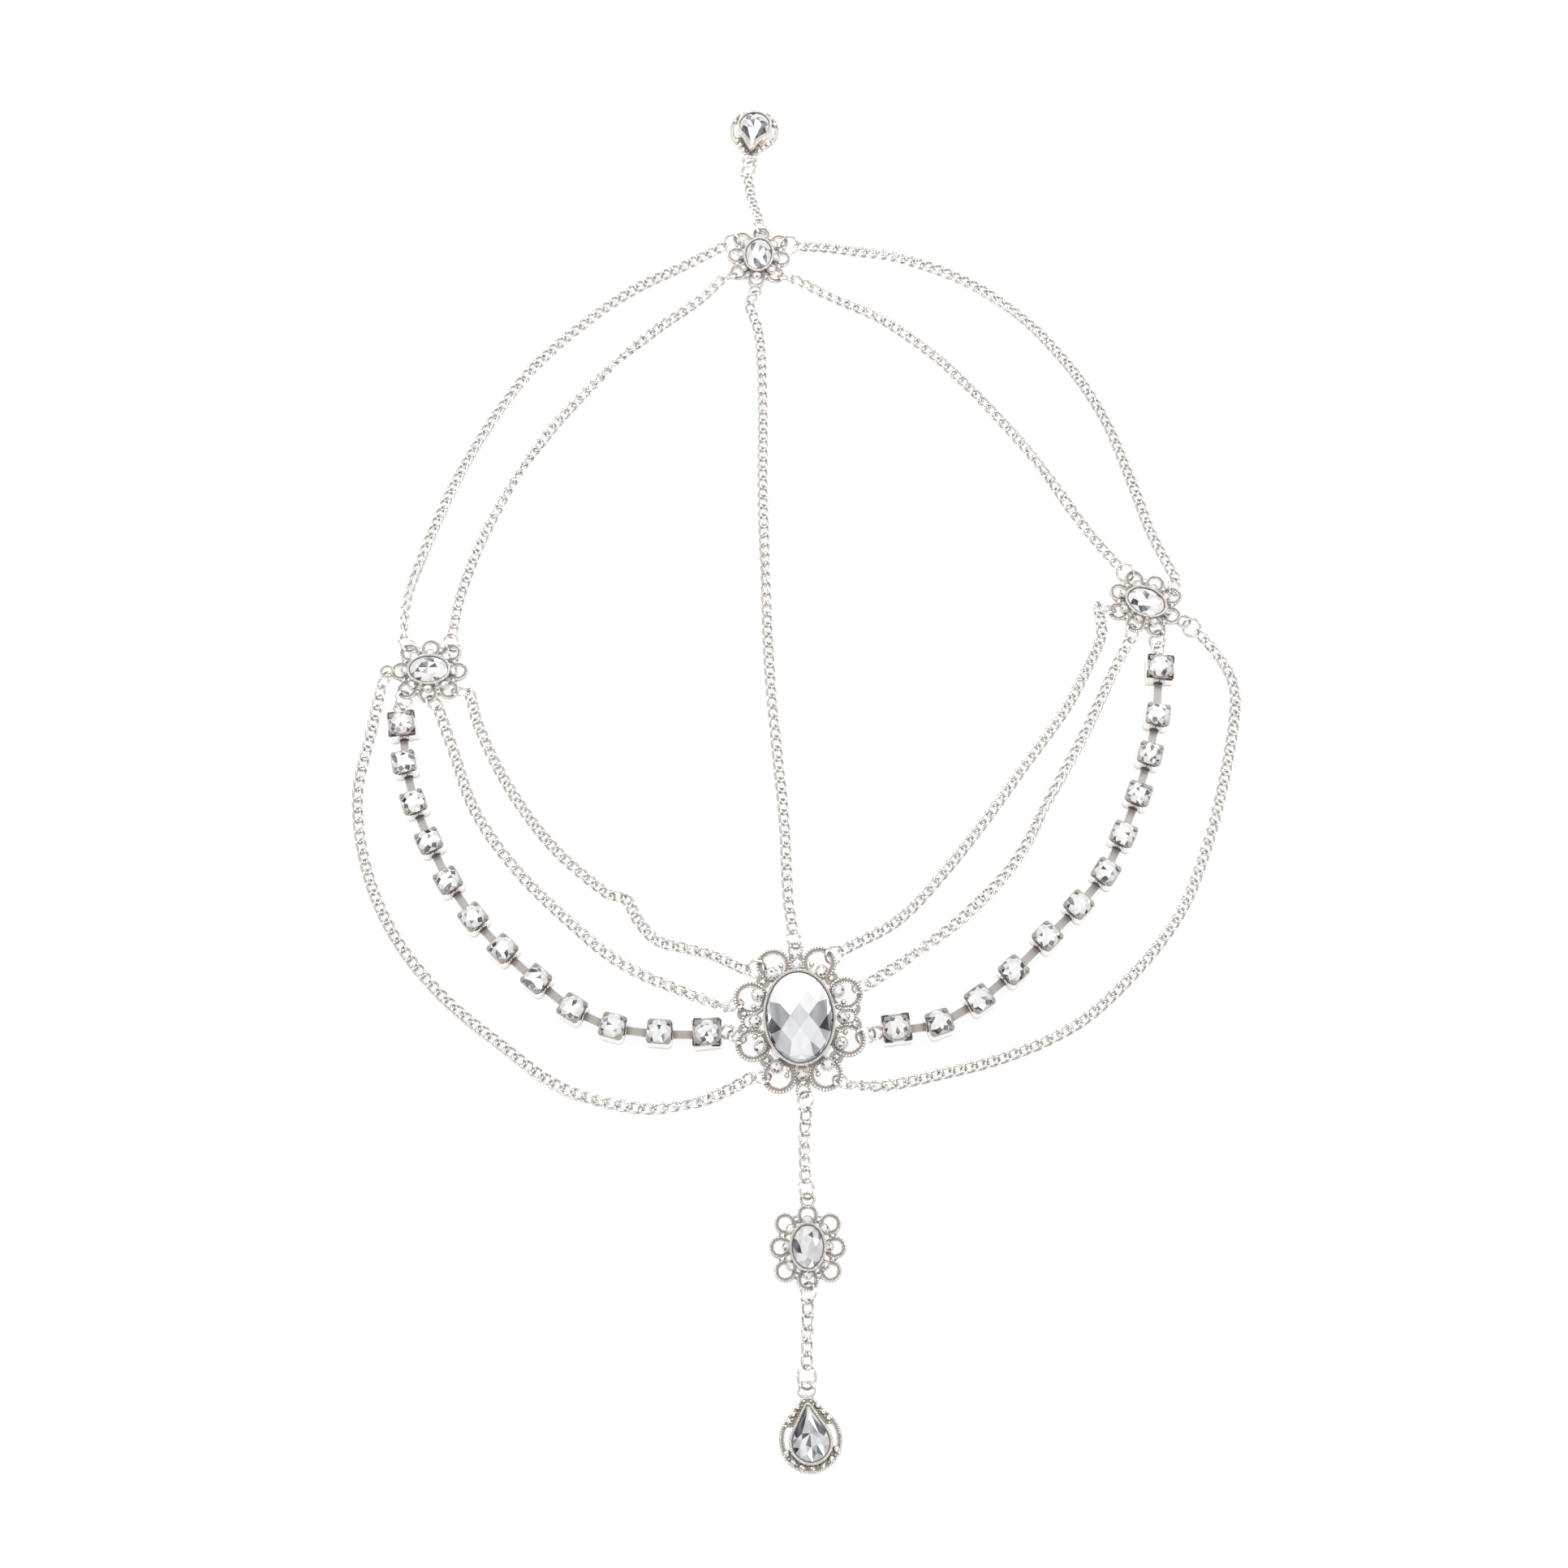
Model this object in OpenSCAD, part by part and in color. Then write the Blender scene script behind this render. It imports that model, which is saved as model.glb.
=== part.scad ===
// Hair chain: a head piece of curb chains, cup chains and pierced cast settings
// with clear cut stones, laid out flat. Millimetres, +Z up, the surface is z = 0.
// The origin is the middle of the large setting's flat back.

/* [Large setting] */
// Length of the large oval stone
big_stone_l = 25; // [22:0.5:27]
// Width of the large oval stone
big_stone_w = 18; // [16:0.5:19]
// Height of the large stone's bezel
big_bezel_h = 5.2; // [4.6:0.1:6]
// Height of the large stone above its girdle
big_crown_h = 2.2; // [1:0.1:3]
// Outer radius of a large lobe
lobe_r = 4.7; // [4.3:0.1:5.1]

/* [Small settings] */
// Length of a small oval stone
small_stone_l = 11; // [10:0.2:11.6]
// Width of a small oval stone
small_stone_w = 8; // [7.2:0.2:8.6]
// Height of a small stone's bezel
small_bezel_h = 4.4; // [4:0.1:5]
// Height of a small stone above its girdle
small_crown_h = 1.3; // [0.8:0.1:2]
// Outer radius of a petal
petal_r = 2.9; // [2.7:0.05:3]
// Outer radius of the cast ear
ear_r = 2.1; // [1.95:0.05:2.3]

/* [Pear drops] */
// Length of a pear stone
pear_stone_l = 13.5; // [12:0.25:14]
// Width of a pear stone
pear_stone_w = 9.4; // [8.5:0.2:10]
// Width of the pear frame
pear_frame_w = 15.8; // [15.2:0.2:16.6]
// Length of the pear frame
pear_frame_l = 18.6; // [18.2:0.2:19.4]
// Height of a pear stone's bezel
pear_bezel_h = 4.6; // [4.2:0.1:5.2]
// Height of a pear stone above its girdle
pear_crown_h = 1.6; // [0.8:0.1:2.2]

/* [Castings] */
// Thickness of the pierced web
web_t = 0.8; // [0.6:0.05:0.9]
// Width of the beaded rim round an opening of a small setting
rim_w = 1.15; // [1:0.05:1.25]
// Width of the beaded rim round an opening of the large setting
big_rim_w = 1.5; // [1.3:0.05:1.7]
// Height of the raised edge on each rim
rim_bead = 0.15; // [0.1:0.05:0.2]
// Wall of a bezel
bezel_wall = 0.7; // [0.5:0.05:0.8]
// Floor of a bezel
bezel_floor = 0.7; // [0.5:0.1:1]
// Diameter of a round stone round the large setting
big_chaton_d = 2.7; // [2.3:0.1:2.9]
// Diameter of a round stone round a small setting
small_chaton_d = 1.9; // [1.6:0.1:2.1]
// Wall of the cup round such a stone
chaton_wall = 0.3; // [0.25:0.05:0.4]
// Gap between a stone and its seat
stone_gap = 0.12; // [0.1:0.02:0.16]

/* [Cup chains] */
// Width of a cup over its walls
cup_w = 6.9; // [6.5:0.1:7.2]
// Height of a cup's walls
cup_h = 5.2; // [4.8:0.1:5.6]
// Diameter of the stone in a cup
cup_stone_d = 5.9; // [5.5:0.1:6]
// Width of the end box of a cup chain
box_w = 7.5; // [7.4:0.1:7.9]
// Width of the flat bar between two cups
bar_w = 2.2; // [1.8:0.1:2.5]
// Thickness of the flat bar
bar_t = 0.8; // [0.6:0.05:1]
// Gap round a bar in its slot
bar_gap = 0.2; // [0.15:0.05:0.3]

/* [Chains] */
// Length of a curb link over its ends
link_l = 5.25; // [5.2:0.05:5.4]
// Width of a curb link
link_w = 3.4; // [3.3:0.05:3.6]
// Wire of a curb link
link_wire = 0.8; // [0.7:0.05:0.82]
// Twist of each end of a link out of its middle plane
link_twist = 38; // [34:1:46]
// Distance from link to link of the centre chain, fitted to a whole number of links
link_pitch = 3.25; // [3.2:0.05:3.3]
// Outer diameter of a jump ring
ring_od = 6; // [5.7:0.1:6.2]
// Outer diameter of a pear drop's jump ring
pear_ring_od = 6.6; // [6.2:0.1:6.8]
// Wire of a jump ring
ring_wire = 0.8; // [0.7:0.05:0.85]
// Slant of a jump ring out of the surface it lies on
ring_slant = 45; // [43:1:50]

/* [Hidden] */

ring_r = (ring_od - ring_wire)/2;
// the web lies at the height where a slanted jump ring through it rests on the surface
web_z = ring_r*sin(ring_slant) + ring_wire/2;
pear_ring_r = (pear_ring_od - ring_wire)/2;
pear_slant = asin((web_z - ring_wire/2)/pear_ring_r);
// gap between the end of a fine chain and the ring that it hangs on
chain_gap = 0.15;
link_rest_z = (link_w - link_wire)/2*sin(link_twist) + link_wire/2;
link_reach = (link_l - link_wire)/2;
// gap between the wires of a link and its ring
hook_gap = 0.3;
// links of each short chain
top_drop_links = 6;
upper_drop_links = 6;
lower_drop_links = 5;
// the short chain between the top setting and its drop stays this far off the surface
top_drop_lift = 0.4;
// depth that soldered pieces run into each other
solder = 0.05;
oval_sides = 40;
// distance from a jump ring's wire to the rim that it pulls on, in a wide and in a small opening
wide_hook = 1;
wide_open = 1.65;
small_hook_off = 0.25;

// Layout of each setting: position of its middle and turn, stone's length along +Y at 0
TOP = [-12, 244];
TOP_TURN = 175;
LEFT = [-106, 102.5];
LEFT_TURN = 90;
RIGHT = [101, 124];
RIGHT_TURN = -117;
DROP = [2, -60.5];
DROP_TURN = 0;
CENTRE = [0, 0];
CENTRE_TURN = 3;
TOP_PEAR = [-13.8, 291];
TOP_PEAR_TURN = 173;
BOTTOM_PEAR = [2.4, -106.5];
BOTTOM_PEAR_TURN = 5;

// Outside half-axes of the bezels
BIG_OUT = [big_stone_w/2 + stone_gap + bezel_wall, big_stone_l/2 + stone_gap + bezel_wall];
SMALL_OUT = [small_stone_w/2 + stone_gap + bezel_wall, small_stone_l/2 + stone_gap + bezel_wall];
// the point that lies so far outside a bezel, at an angle round it
function round_bezel(half_axes, a, out) = [(half_axes[0] + out)*cos(a), (half_axes[1] + out)*sin(a)];
// the same point in all four quarters
function quarters(p) = [for (sx = [-1, 1]) for (sy = [-1, 1]) [sx*p[0], sy*p[1]]];

// Round openings of a small setting: [x, y, outer radius, opening radius]
petal_open = petal_r - rim_w;
ear_wall = 0.7;
ear_open = ear_r - ear_wall;
function petal(a, seat) = concat(round_bezel(SMALL_OUT, a, petal_r - seat), [petal_r, petal_open]);
// how far each petal runs into the bezel: at its ends, at its sides and at its shoulders
end_seat = 1;
side_seat = 0.62;
shoulder_seat = 0.05;
shoulder_turn = 40.9;
// how far the ear runs into the end petal
ear_seat = 1;
ear_at = SMALL_OUT[1] + 2*petal_r - end_seat + ear_r - ear_seat;
SMALL_HOLES = [
    petal(90, end_seat), petal(shoulder_turn, shoulder_seat),
    petal(0, side_seat), petal(-shoulder_turn, shoulder_seat),
    petal(-90, end_seat), petal(180 + shoulder_turn, shoulder_seat),
    petal(180, side_seat), petal(180 - shoulder_turn, shoulder_seat),
    [0, ear_at, ear_r, ear_open]
];
EAR = 8;
// Round stones of a small setting, on the inner side of the openings: [x, y]
small_seat_r = small_chaton_d/2 + stone_gap;
// how far a stone's seat runs into the bezel: at its ends and sides, and at its shoulders
end_seat_in = 0.59;
shoulder_seat_in = 0.26;
SMALL_CHATONS = concat(
    [for (a = [90, -90, 1, 179]) round_bezel(SMALL_OUT, a, small_seat_r - end_seat_in)],
    quarters(round_bezel(SMALL_OUT, 40, small_seat_r - shoulder_seat_in)));
small_joint_r = 1;
small_grain_r = 0.6;
// Grains where two petals meet: [x, y, radius of the joint]
SMALL_JOINTS = [for (at = [[20.7, 2.13], [63.3, 1.63]])
    for (p = quarters(round_bezel(SMALL_OUT, at[0], at[1]))) concat(p, [small_joint_r])];

// Openings of the large setting: [x, y, outer radius, opening radius]
lobe_open = lobe_r - big_rim_w;
waist_r = 2.7;
waist_open = 1.7;
waist_off = 0.58;
side_lobe_turn = 21.95;
end_lobe_turn = 63.3;
// how far a lobe runs into the bezel: across the setting and along it
lobe_seat_w = 0.72;
lobe_seat_l = 0.89;
function lobe_middle(a) =
    [(BIG_OUT[0] + lobe_r - lobe_seat_w)*cos(a), (BIG_OUT[1] + lobe_r - lobe_seat_l)*sin(a)];
function lobe(a) = concat(lobe_middle(a), [lobe_r, lobe_open]);
function waist(s) = [s*(BIG_OUT[0] + waist_off + waist_r), 0, waist_r, waist_open];
// the joint at each end reaches both end lobes, and the eye stands on its grain
big_joint_r = 1.9;
big_grain_r = 0.8;
end_joint_at = lobe_middle(end_lobe_turn)[1] + 2.1;
end_joint_r = norm(lobe_middle(end_lobe_turn) - [0, end_joint_at]) - lobe_r + solder;
function eye(s) = [0, s*(end_joint_at + big_grain_r + ear_open), ear_r, ear_open];
BIG_HOLES = [
    lobe(180 - end_lobe_turn), lobe(end_lobe_turn),
    lobe(side_lobe_turn), lobe(-side_lobe_turn),
    lobe(-end_lobe_turn), lobe(180 + end_lobe_turn),
    lobe(180 + side_lobe_turn), lobe(180 - side_lobe_turn),
    eye(1), eye(-1), waist(1), waist(-1)
];
TOP_EYE = 8;
BOTTOM_EYE = 9;
// Round stones of the large setting, [x, y], their seats so far off the bezel:
// at its ends, at its sides and at its shoulders
end_seat_off = 0.31;
side_seat_off = 0.61;
SHOULDER_SEATS = [[55.8, 0.81], [27.2, 0.96]];
big_seat_r = big_chaton_d/2 + stone_gap;
BIG_CHATONS = concat(
    [for (a = [90, -90]) round_bezel(BIG_OUT, a, big_seat_r + end_seat_off)],
    [for (a = [0, 180]) round_bezel(BIG_OUT, a, big_seat_r + side_seat_off)],
    [for (at = SHOULDER_SEATS) each quarters(round_bezel(BIG_OUT, at[0], big_seat_r + at[1]))]);
// Grains between two lobes: [x, y, radius of the joint]
BIG_JOINTS = concat(
    [for (s = [-1, 1]) [0, s*end_joint_at, end_joint_r]],
    [for (at = [[42.5, 2.8], [6.85, 5.08]])
        for (p = quarters(round_bezel(BIG_OUT, at[0], at[1]))) concat(p, [big_joint_r])]);
// Scroll tongues that rise from the bezel into the lobes, [x, y] of the tip
BIG_TONGUES = [for (a = [70.6, 15.1]) each quarters(round_bezel(BIG_OUT, a, 2.8))];
tongue_w = 0.7;
tongue_l = 3.5;

bail_r = 2.4;
bail_open = 1.6;
bail_off = 1.3;
bail_at = pear_frame_l/2 + bail_off;

// Jump rings: [opening, direction of pull, side that leans down: 1 or -1]
CENTRE_RINGS = [
    [TOP_EYE, 97, 1], [0, 190, -1], [1, 30, 1], [7, 200, 1], [6, 152, 1],
    [5, 182, 1], [2, 25, -1], [3, 15, 1], [4, -25, -1], [BOTTOM_EYE, 278, 1]
];
TOP_RINGS = [[EAR, 250, 1], [4, 95, 1], [3, 200, -1], [5, -12, 1], [1, 207, 1], [7, -15, -1]];
LEFT_RINGS = [[1, 112, 1], [3, 92, 1], [EAR, 255, 1], [7, 255, -1], [6, 305, -1], [5, -8, -1]];
RIGHT_RINGS = [[5, 135, -1], [7, 75, 1], [3, 162, 1], [2, 248, -1], [1, 272, 1], [EAR, -42, 1]];
DROP_RINGS = [[EAR, 95, 1], [4, 270, 1]];
TOP_PEAR_PULL = 265;
BOTTOM_PEAR_PULL = 88;

// Routes of the chains between their jump rings, [x, y]
CENTRE_ROUTE = [
    [-12, 218], [-11, 206], [-10.5, 185], [-10.5, 163.5], [-9.5, 131.5],
    [-8, 99.5], [-6, 78], [-4, 56.5], [-3, 35]
];
OUTER_TOP_LEFT_ROUTE = [
    [-34, 242.5], [-52, 232], [-68, 218.5], [-82, 203], [-93, 185],
    [-102, 165.5], [-109, 145.5], [-114, 127]
];
INNER_TOP_LEFT_ROUTE = [
    [-30.5, 229], [-46.5, 215.5], [-61, 200], [-74, 183.5], [-84.5, 165.5], [-93, 146.5], [-98.5, 128]
];
INNER_TOP_RIGHT_ROUTE = [
    [7.5, 232], [26.5, 221.5], [42.5, 208.5], [56.5, 192.5], [69.5, 175], [80.5, 157], [86, 148]
];
OUTER_TOP_RIGHT_ROUTE = [
    [12.5, 248], [33.5, 244], [53, 235.5], [70, 222], [83, 205.5], [93, 186.5], [99.5, 166], [104.5, 148]
];
OUTER_LEFT_ROUTE = [
    [-121.5, 85], [-124, 65], [-120, 43.5], [-111, 24], [-97, 7],
    [-80.5, -6.5], [-62.5, -19], [-42, -24], [-28, -22.5], [-20, -19.5]
];
MIDDLE_LEFT_ROUTE = [[-98, 78.5], [-91, 60.5], [-79, 43.5], [-64, 28.5], [-48, 15.5], [-29, 7]];
INNER_LEFT_ROUTE = [
    [-91, 85.5], [-81.5, 67], [-68.5, 49.5], [-53, 36], [-48, 34.5],
    [-44.5, 28.5], [-39, 22.5], [-30, 20], [-22, 17.5]
];
INNER_RIGHT_ROUTE = [
    [88, 115], [84.5, 106.5], [76.5, 91.5], [64, 74], [51.5, 56.5], [38.5, 40], [27, 28]
];
MIDDLE_RIGHT_ROUTE = [[90.5, 102.5], [81, 83], [70.5, 64], [60, 45], [45, 29], [30, 17.5]];
OUTER_RIGHT_ROUTE = [
    [121, 108.5], [124.5, 101], [125, 92.5], [120.5, 71.5], [114, 50.5], [105, 30.5],
    [91.5, 13.5], [75, -1], [55.5, -10], [34.5, -15.5], [22, -18]
];
TOP_DROP_ROUTE = [[-14.3, 266.5]];
UPPER_DROP_ROUTE = [[1.2, -33]];
LOWER_DROP_ROUTE = [[1.8, -82.5]];
// Cups between the two end boxes of a cup chain, [x, y]
LEFT_CUPS = [
    [-111, 73.5], [-107.5, 61.5], [-102.5, 50], [-96.5, 38.5], [-89, 28],
    [-80.5, 19], [-71, 10.5], [-61, 2.5], [-50, -2.5], [-37.5, -4]
];
RIGHT_CUPS = [
    [102, 88], [99, 76], [95, 64], [90, 52], [84.5, 41],
    [76.5, 31.5], [67.5, 22.5], [58, 13], [48.5, 5], [37.5, -1.5]
];
// End boxes: [direction from the eye to the box, length of the strap between them]
LEFT_ENDS = [[282, 0], [187, 0]];
RIGHT_ENDS = [[268, 1.5], [8, 0]];

// Points
function ahead(a, l) = [l*cos(a), l*sin(a)];
function turned(p, a) = [p[0]*cos(a) - p[1]*sin(a), p[0]*sin(a) + p[1]*cos(a)];
function hook(open) = open > wide_open ? wide_hook : open - small_hook_off;
function ring_at(holes, at, turn, row, r) = let (h = holes[row[0]])
    at + turned([h[0], h[1]], turn) + ahead(row[1], h[3] - hook(h[3]) + r);
function heading(v) = atan2(v[1], v[0]);
// middle of the link that hangs on the outer end of a ring and runs on to a point
function link_at(c, row, r, to) = let (tip = c + ahead(row[1], r))
    concat(tip + ahead(heading(to - tip), link_reach - (ring_wire + link_wire)/2 - hook_gap),
        [web_z]);
// end of a swept chain that runs on to a point, clear of the ring seen from above
function clear_at(c, row, r, to) = let (tip = c + ahead(row[1], r), leave = heading(to - tip),
        phi = leave - row[1], long = r + ring_wire/2, wide = r*cos(ring_slant) + ring_wire/2)
    concat(tip + ahead(leave, norm([long*cos(phi), wide*sin(phi)]) + chain_gap - r*cos(phi)),
        [web_z]);
function flat_route(route, lift = 0) = [for (p = route) [p[0], p[1], link_rest_z + lift]];
function last(p) = p[len(p) - 1];

// Smooth curve through points, each span eased by its own length
function dir_at(p, i) = let (a = p[max(i - 1, 0)], b = p[min(i + 1, len(p) - 1)]) (b - a)/norm(b - a);
function span(p, i, t) = let (l = norm(p[i + 1] - p[i]))
    (2*pow(t, 3) - 3*pow(t, 2) + 1)*p[i] + (3*pow(t, 2) - 2*pow(t, 3))*p[i + 1]
    + l*(pow(t, 3) - 2*pow(t, 2) + t)*dir_at(p, i) + l*(pow(t, 3) - pow(t, 2))*dir_at(p, i + 1);
function curve(p, steps = 8) = concat(
    [for (i = [0:len(p) - 2]) for (s = [0:steps - 1]) span(p, i, s/steps)], [p[len(p) - 1]]);
function run_length(p, i = 0, s = 0, found = []) = i == len(p) ? found
    : let (d = i == 0 ? 0 : s + norm(p[i] - p[i - 1])) run_length(p, i + 1, d, concat(found, [d]));
// evenly spaced places on a curve: [point, heading, slope]
function places(p, count) = let (c = curve(p), s = run_length(c), all = s[len(s) - 1])
    [for (k = [0:count]) let (
        at = [for (j = [0:2]) lookup(all*k/count, [for (i = [0:len(c) - 1]) [s[i], c[i][j]]])],
        ahead_s = min(all*k/count + 0.6, all), back_s = max(all*k/count - 0.6, 0),
        to = [for (j = [0:2]) lookup(ahead_s, [for (i = [0:len(c) - 1]) [s[i], c[i][j]]])],
        from = [for (j = [0:2]) lookup(back_s, [for (i = [0:len(c) - 1]) [s[i], c[i][j]]])],
        v = to - from
    ) [at, heading(v), atan2(v[2], norm([v[0], v[1]]))]];
function length_of(p) = let (s = run_length(curve(p))) s[len(s) - 1];

// Outlines
function oval(w, l, sides = oval_sides) =
    [for (i = [0:sides - 1]) let (a = 360*i/sides) [w/2*cos(a), l/2*sin(a)]];
// a pear with its point towards +Y: a round end, straight shoulders and a small round tip
function pear(w, l, tip, sides) = let (
        low = (w - l)/2, high = l/2 - tip, a = asin((w/2 - tip)/(high - low)))
    concat(
        [for (i = [0:sides]) let (t = 180 - a + i*(180 + 2*a)/sides) [w/2*cos(t), low + w/2*sin(t)]],
        [for (i = [0:3]) let (t = a + i*(180 - 2*a)/3) [tip*cos(t), high + tip*sin(t)]]);
function shrunk(p, k) = [for (q = p) k*q];
function turned_half(p) = let (n = len(p)) [for (i = [0:n - 1]) (p[i] + p[(i + 1) % n])/2];

// Cut stone: tiers of one outline, [share of the outline, height, half a step round]
module cut_stone(outline, tiers, culet) {
    n = len(outline);
    points = concat(
        [for (t = tiers) let (o = shrunk(t[2] == 1 ? turned_half(outline) : outline, t[0]))
            for (q = o) [q[0], q[1], t[1]]],
        [[0, 0, culet]]);
    sides = [for (k = [0:len(tiers) - 2]) for (i = [0:n - 1])
        let (a = k*n + i, b = k*n + (i + 1) % n, c = a + n, d = b + n, late = tiers[k][2] == 1)
        each (late ? [[a, b, d], [a, d, c]] : [[a, b, c], [b, d, c]])];
    base = (len(tiers) - 1)*n;
    polyhedron(points, concat(
        [[for (i = [n - 1:-1:0]) i]], sides,
        [for (i = [0:n - 1]) [base + i, base + (i + 1) % n, len(tiers)*n]]), convexity = 4);
}

module stone_colour() { color([0.88, 0.91, 0.94]) children(); }
module metal_colour() { color([0.79, 0.78, 0.76]) children(); }

// Round stone of 8 facets, its girdle at z = 0
module chaton(d) {
    cut_stone(oval(d, d, 8), [[0.58, 0.24*d, 0], [1, 0.02*d, 0]], -0.3*d);
}

// Castings
chaton_rise = 0.7;
chaton_top = web_z + web_t/2 + chaton_rise;
// a stone's girdle lies this far under the edge of its setting
girdle_in = 0.3;
chaton_in = 0.2;
// the raised edge of a rim: its distance from the rim's outside, and its width
edge_in = 0.1;
edge_w = 0.3;
module web(holes, joints, grain_r) {
    translate([0, 0, web_z - web_t/2]) linear_extrude(web_t) difference() {
        union() {
            for (h = holes) translate([h[0], h[1]]) circle(r = h[2], $fn = 48);
            for (j = joints) translate([j[0], j[1]]) circle(r = j[2], $fn = 32);
        }
        for (h = holes) translate([h[0], h[1]]) circle(r = h[3], $fn = 48);
    }
    translate([0, 0, web_z + web_t/2 - solder]) linear_extrude(rim_bead + solder) {
        for (h = holes) translate([h[0], h[1]]) difference() {
            circle(r = h[2] - edge_in, $fn = 48);
            circle(r = h[2] - edge_in - edge_w, $fn = 48);
        }
    }
    for (j = joints) translate([j[0], j[1], web_z + web_t/2]) sphere(r = grain_r, $fn = 24);
}
module chaton_cups(places, d) {
    for (p = places) translate([p[0], p[1], web_z - web_t/2])
        cylinder(r = d/2 + stone_gap + chaton_wall, h = chaton_top - web_z + web_t/2, $fn = 32);
}
module chaton_seats(places, d) {
    for (p = places) translate([p[0], p[1], chaton_top - 0.35*d - chaton_in - 0.15])
        cylinder(r = d/2 + stone_gap, h = d, $fn = 32);
}
module chatons(places, d) {
    for (p = places) translate([p[0], p[1], chaton_top - chaton_in]) chaton(d);
}
function seat_w(s) = s + 2*stone_gap;
function over_wall(s) = s + 2*stone_gap + 2*bezel_wall;

module big_setting() {
    difference() {
        union() {
            web(BIG_HOLES, BIG_JOINTS, big_grain_r);
            for (t = BIG_TONGUES) translate([t[0], t[1], web_z - web_t/2]) {
                cylinder(r = tongue_w, h = web_t, $fn = 24);
                rotate([0, 0, heading(-t)]) translate([0, -tongue_w/2, 0]) cube([tongue_l, tongue_w, web_t]);
            }
            chaton_cups(BIG_CHATONS, big_chaton_d);
            linear_extrude(big_bezel_h) polygon(oval(over_wall(big_stone_w), over_wall(big_stone_l)));
        }
        chaton_seats(BIG_CHATONS, big_chaton_d);
        translate([0, 0, bezel_floor]) linear_extrude(big_bezel_h)
            polygon(oval(seat_w(big_stone_w), seat_w(big_stone_l)));
    }
}
module small_setting() {
    difference() {
        union() {
            web(SMALL_HOLES, SMALL_JOINTS, small_grain_r);
            chaton_cups(SMALL_CHATONS, small_chaton_d);
            linear_extrude(small_bezel_h)
                polygon(oval(over_wall(small_stone_w), over_wall(small_stone_l)));
        }
        chaton_seats(SMALL_CHATONS, small_chaton_d);
        translate([0, 0, bezel_floor]) linear_extrude(small_bezel_h)
            polygon(oval(seat_w(small_stone_w), seat_w(small_stone_l)));
    }
}
module big_stone() {
    girdle = big_bezel_h - girdle_in;
    translate([0, 0, girdle]) cut_stone(oval(big_stone_w - 0.2, big_stone_l - 0.2, 20), [
        [0.3, big_crown_h, 0], [0.55, 0.9*big_crown_h, 1], [0.8, 0.58*big_crown_h, 0],
        [1, 0.1, 1], [1, -0.5, 1]], -(girdle - bezel_floor - stone_gap));
}
module small_stone() {
    girdle = small_bezel_h - girdle_in;
    translate([0, 0, girdle]) cut_stone(oval(small_stone_w - 0.15, small_stone_l - 0.15, 16),
        [[0.5, small_crown_h, 0], [0.8, 0.6*small_crown_h, 1], [1, 0.1, 0], [1, -0.3, 0]],
        -(girdle - bezel_floor - stone_gap));
}

// Pear drop, its point and its bail towards +Y
module pear_setting() {
    out = pear(over_wall(pear_stone_w), over_wall(pear_stone_l), 1.1, 30);
    round_at = (pear_frame_w - pear_frame_l)/2;
    difference() {
        union() {
            translate([0, 0, web_z - web_t/2]) linear_extrude(web_t) difference() {
                union() {
                    polygon(pear(pear_frame_w, pear_frame_l, 1.6, 40));
                    translate([0, bail_at]) circle(r = bail_r, $fn = 48);
                }
                translate([0, bail_at]) circle(r = bail_open, $fn = 48);
                intersection() {
                    difference() {
                        polygon(pear(pear_frame_w - 2*rim_w, pear_frame_l - 2*rim_w, 1, 40));
                        polygon(out);
                    }
                    translate([-pear_frame_w, -4.4]) square([2*pear_frame_w, 6.4]);
                }
            }
            linear_extrude(pear_bezel_h) polygon(out);
            for (a = [-66:22:66])
                translate(concat([0, round_at] + turned([0, 1.15 - pear_frame_w/2], a), [web_z + web_t/2]))
                    sphere(r = 0.95, $fn = 24);
            for (s = [-1, 1]) for (k = [0:2])
                translate([s*(2.6 + 1.25*k), 6.6 - 1.55*k, web_z + web_t/2]) sphere(r = 0.8, $fn = 24);
        }
        translate([0, 0, bezel_floor]) linear_extrude(pear_bezel_h)
            polygon(pear(seat_w(pear_stone_w), seat_w(pear_stone_l), 0.5, 30));
    }
}
module pear_stone() {
    girdle = pear_bezel_h - girdle_in;
    translate([0, 0, girdle]) cut_stone(pear(pear_stone_w - 0.15, pear_stone_l - 0.15, 0.5, 12),
        [[0.5, pear_crown_h, 0], [0.8, 0.6*pear_crown_h, 1], [1, 0.1, 0], [1, -0.3, 0]],
        -(girdle - bezel_floor - stone_gap));
}

module lay(at, turn) { translate([at[0], at[1], 0]) rotate([0, 0, turn]) children(); }

// Jump rings
module ring(c, direction, r, slant, low) {
    translate([c[0], c[1], web_z]) rotate([0, 0, direction]) rotate([low*slant, 0, 0])
        rotate_extrude($fn = 48) translate([r, 0]) circle(d = ring_wire, $fn = 20);
}
module rings(rows, holes, at, turn) {
    for (row = rows) ring(ring_at(holes, at, turn, row, ring_r), row[1], ring_r, ring_slant, row[2]);
}

// One curb link along X, its ends twisted apart, seated at its middle
module curb_link() {
    b = (link_w - link_wire)/2;
    half = (link_l - link_w)/2;
    for (s = [-1, 1]) rotate([s*link_twist, 0, 0]) translate([s*half, 0, 0]) rotate([0, 0, -s*90])
        rotate_extrude(angle = 180, $fn = 32) translate([b, 0]) circle(d = link_wire, $fn = 16);
    rise = 2*b*sin(link_twist);
    long = norm([2*half, rise]);
    for (t = [-1, 1]) translate([0, t*b*cos(link_twist), 0]) rotate([0, 90 - t*atan2(rise, 2*half), 0])
        cylinder(h = long + 0.24, d = link_wire, center = true, $fn = 16);
}
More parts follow.
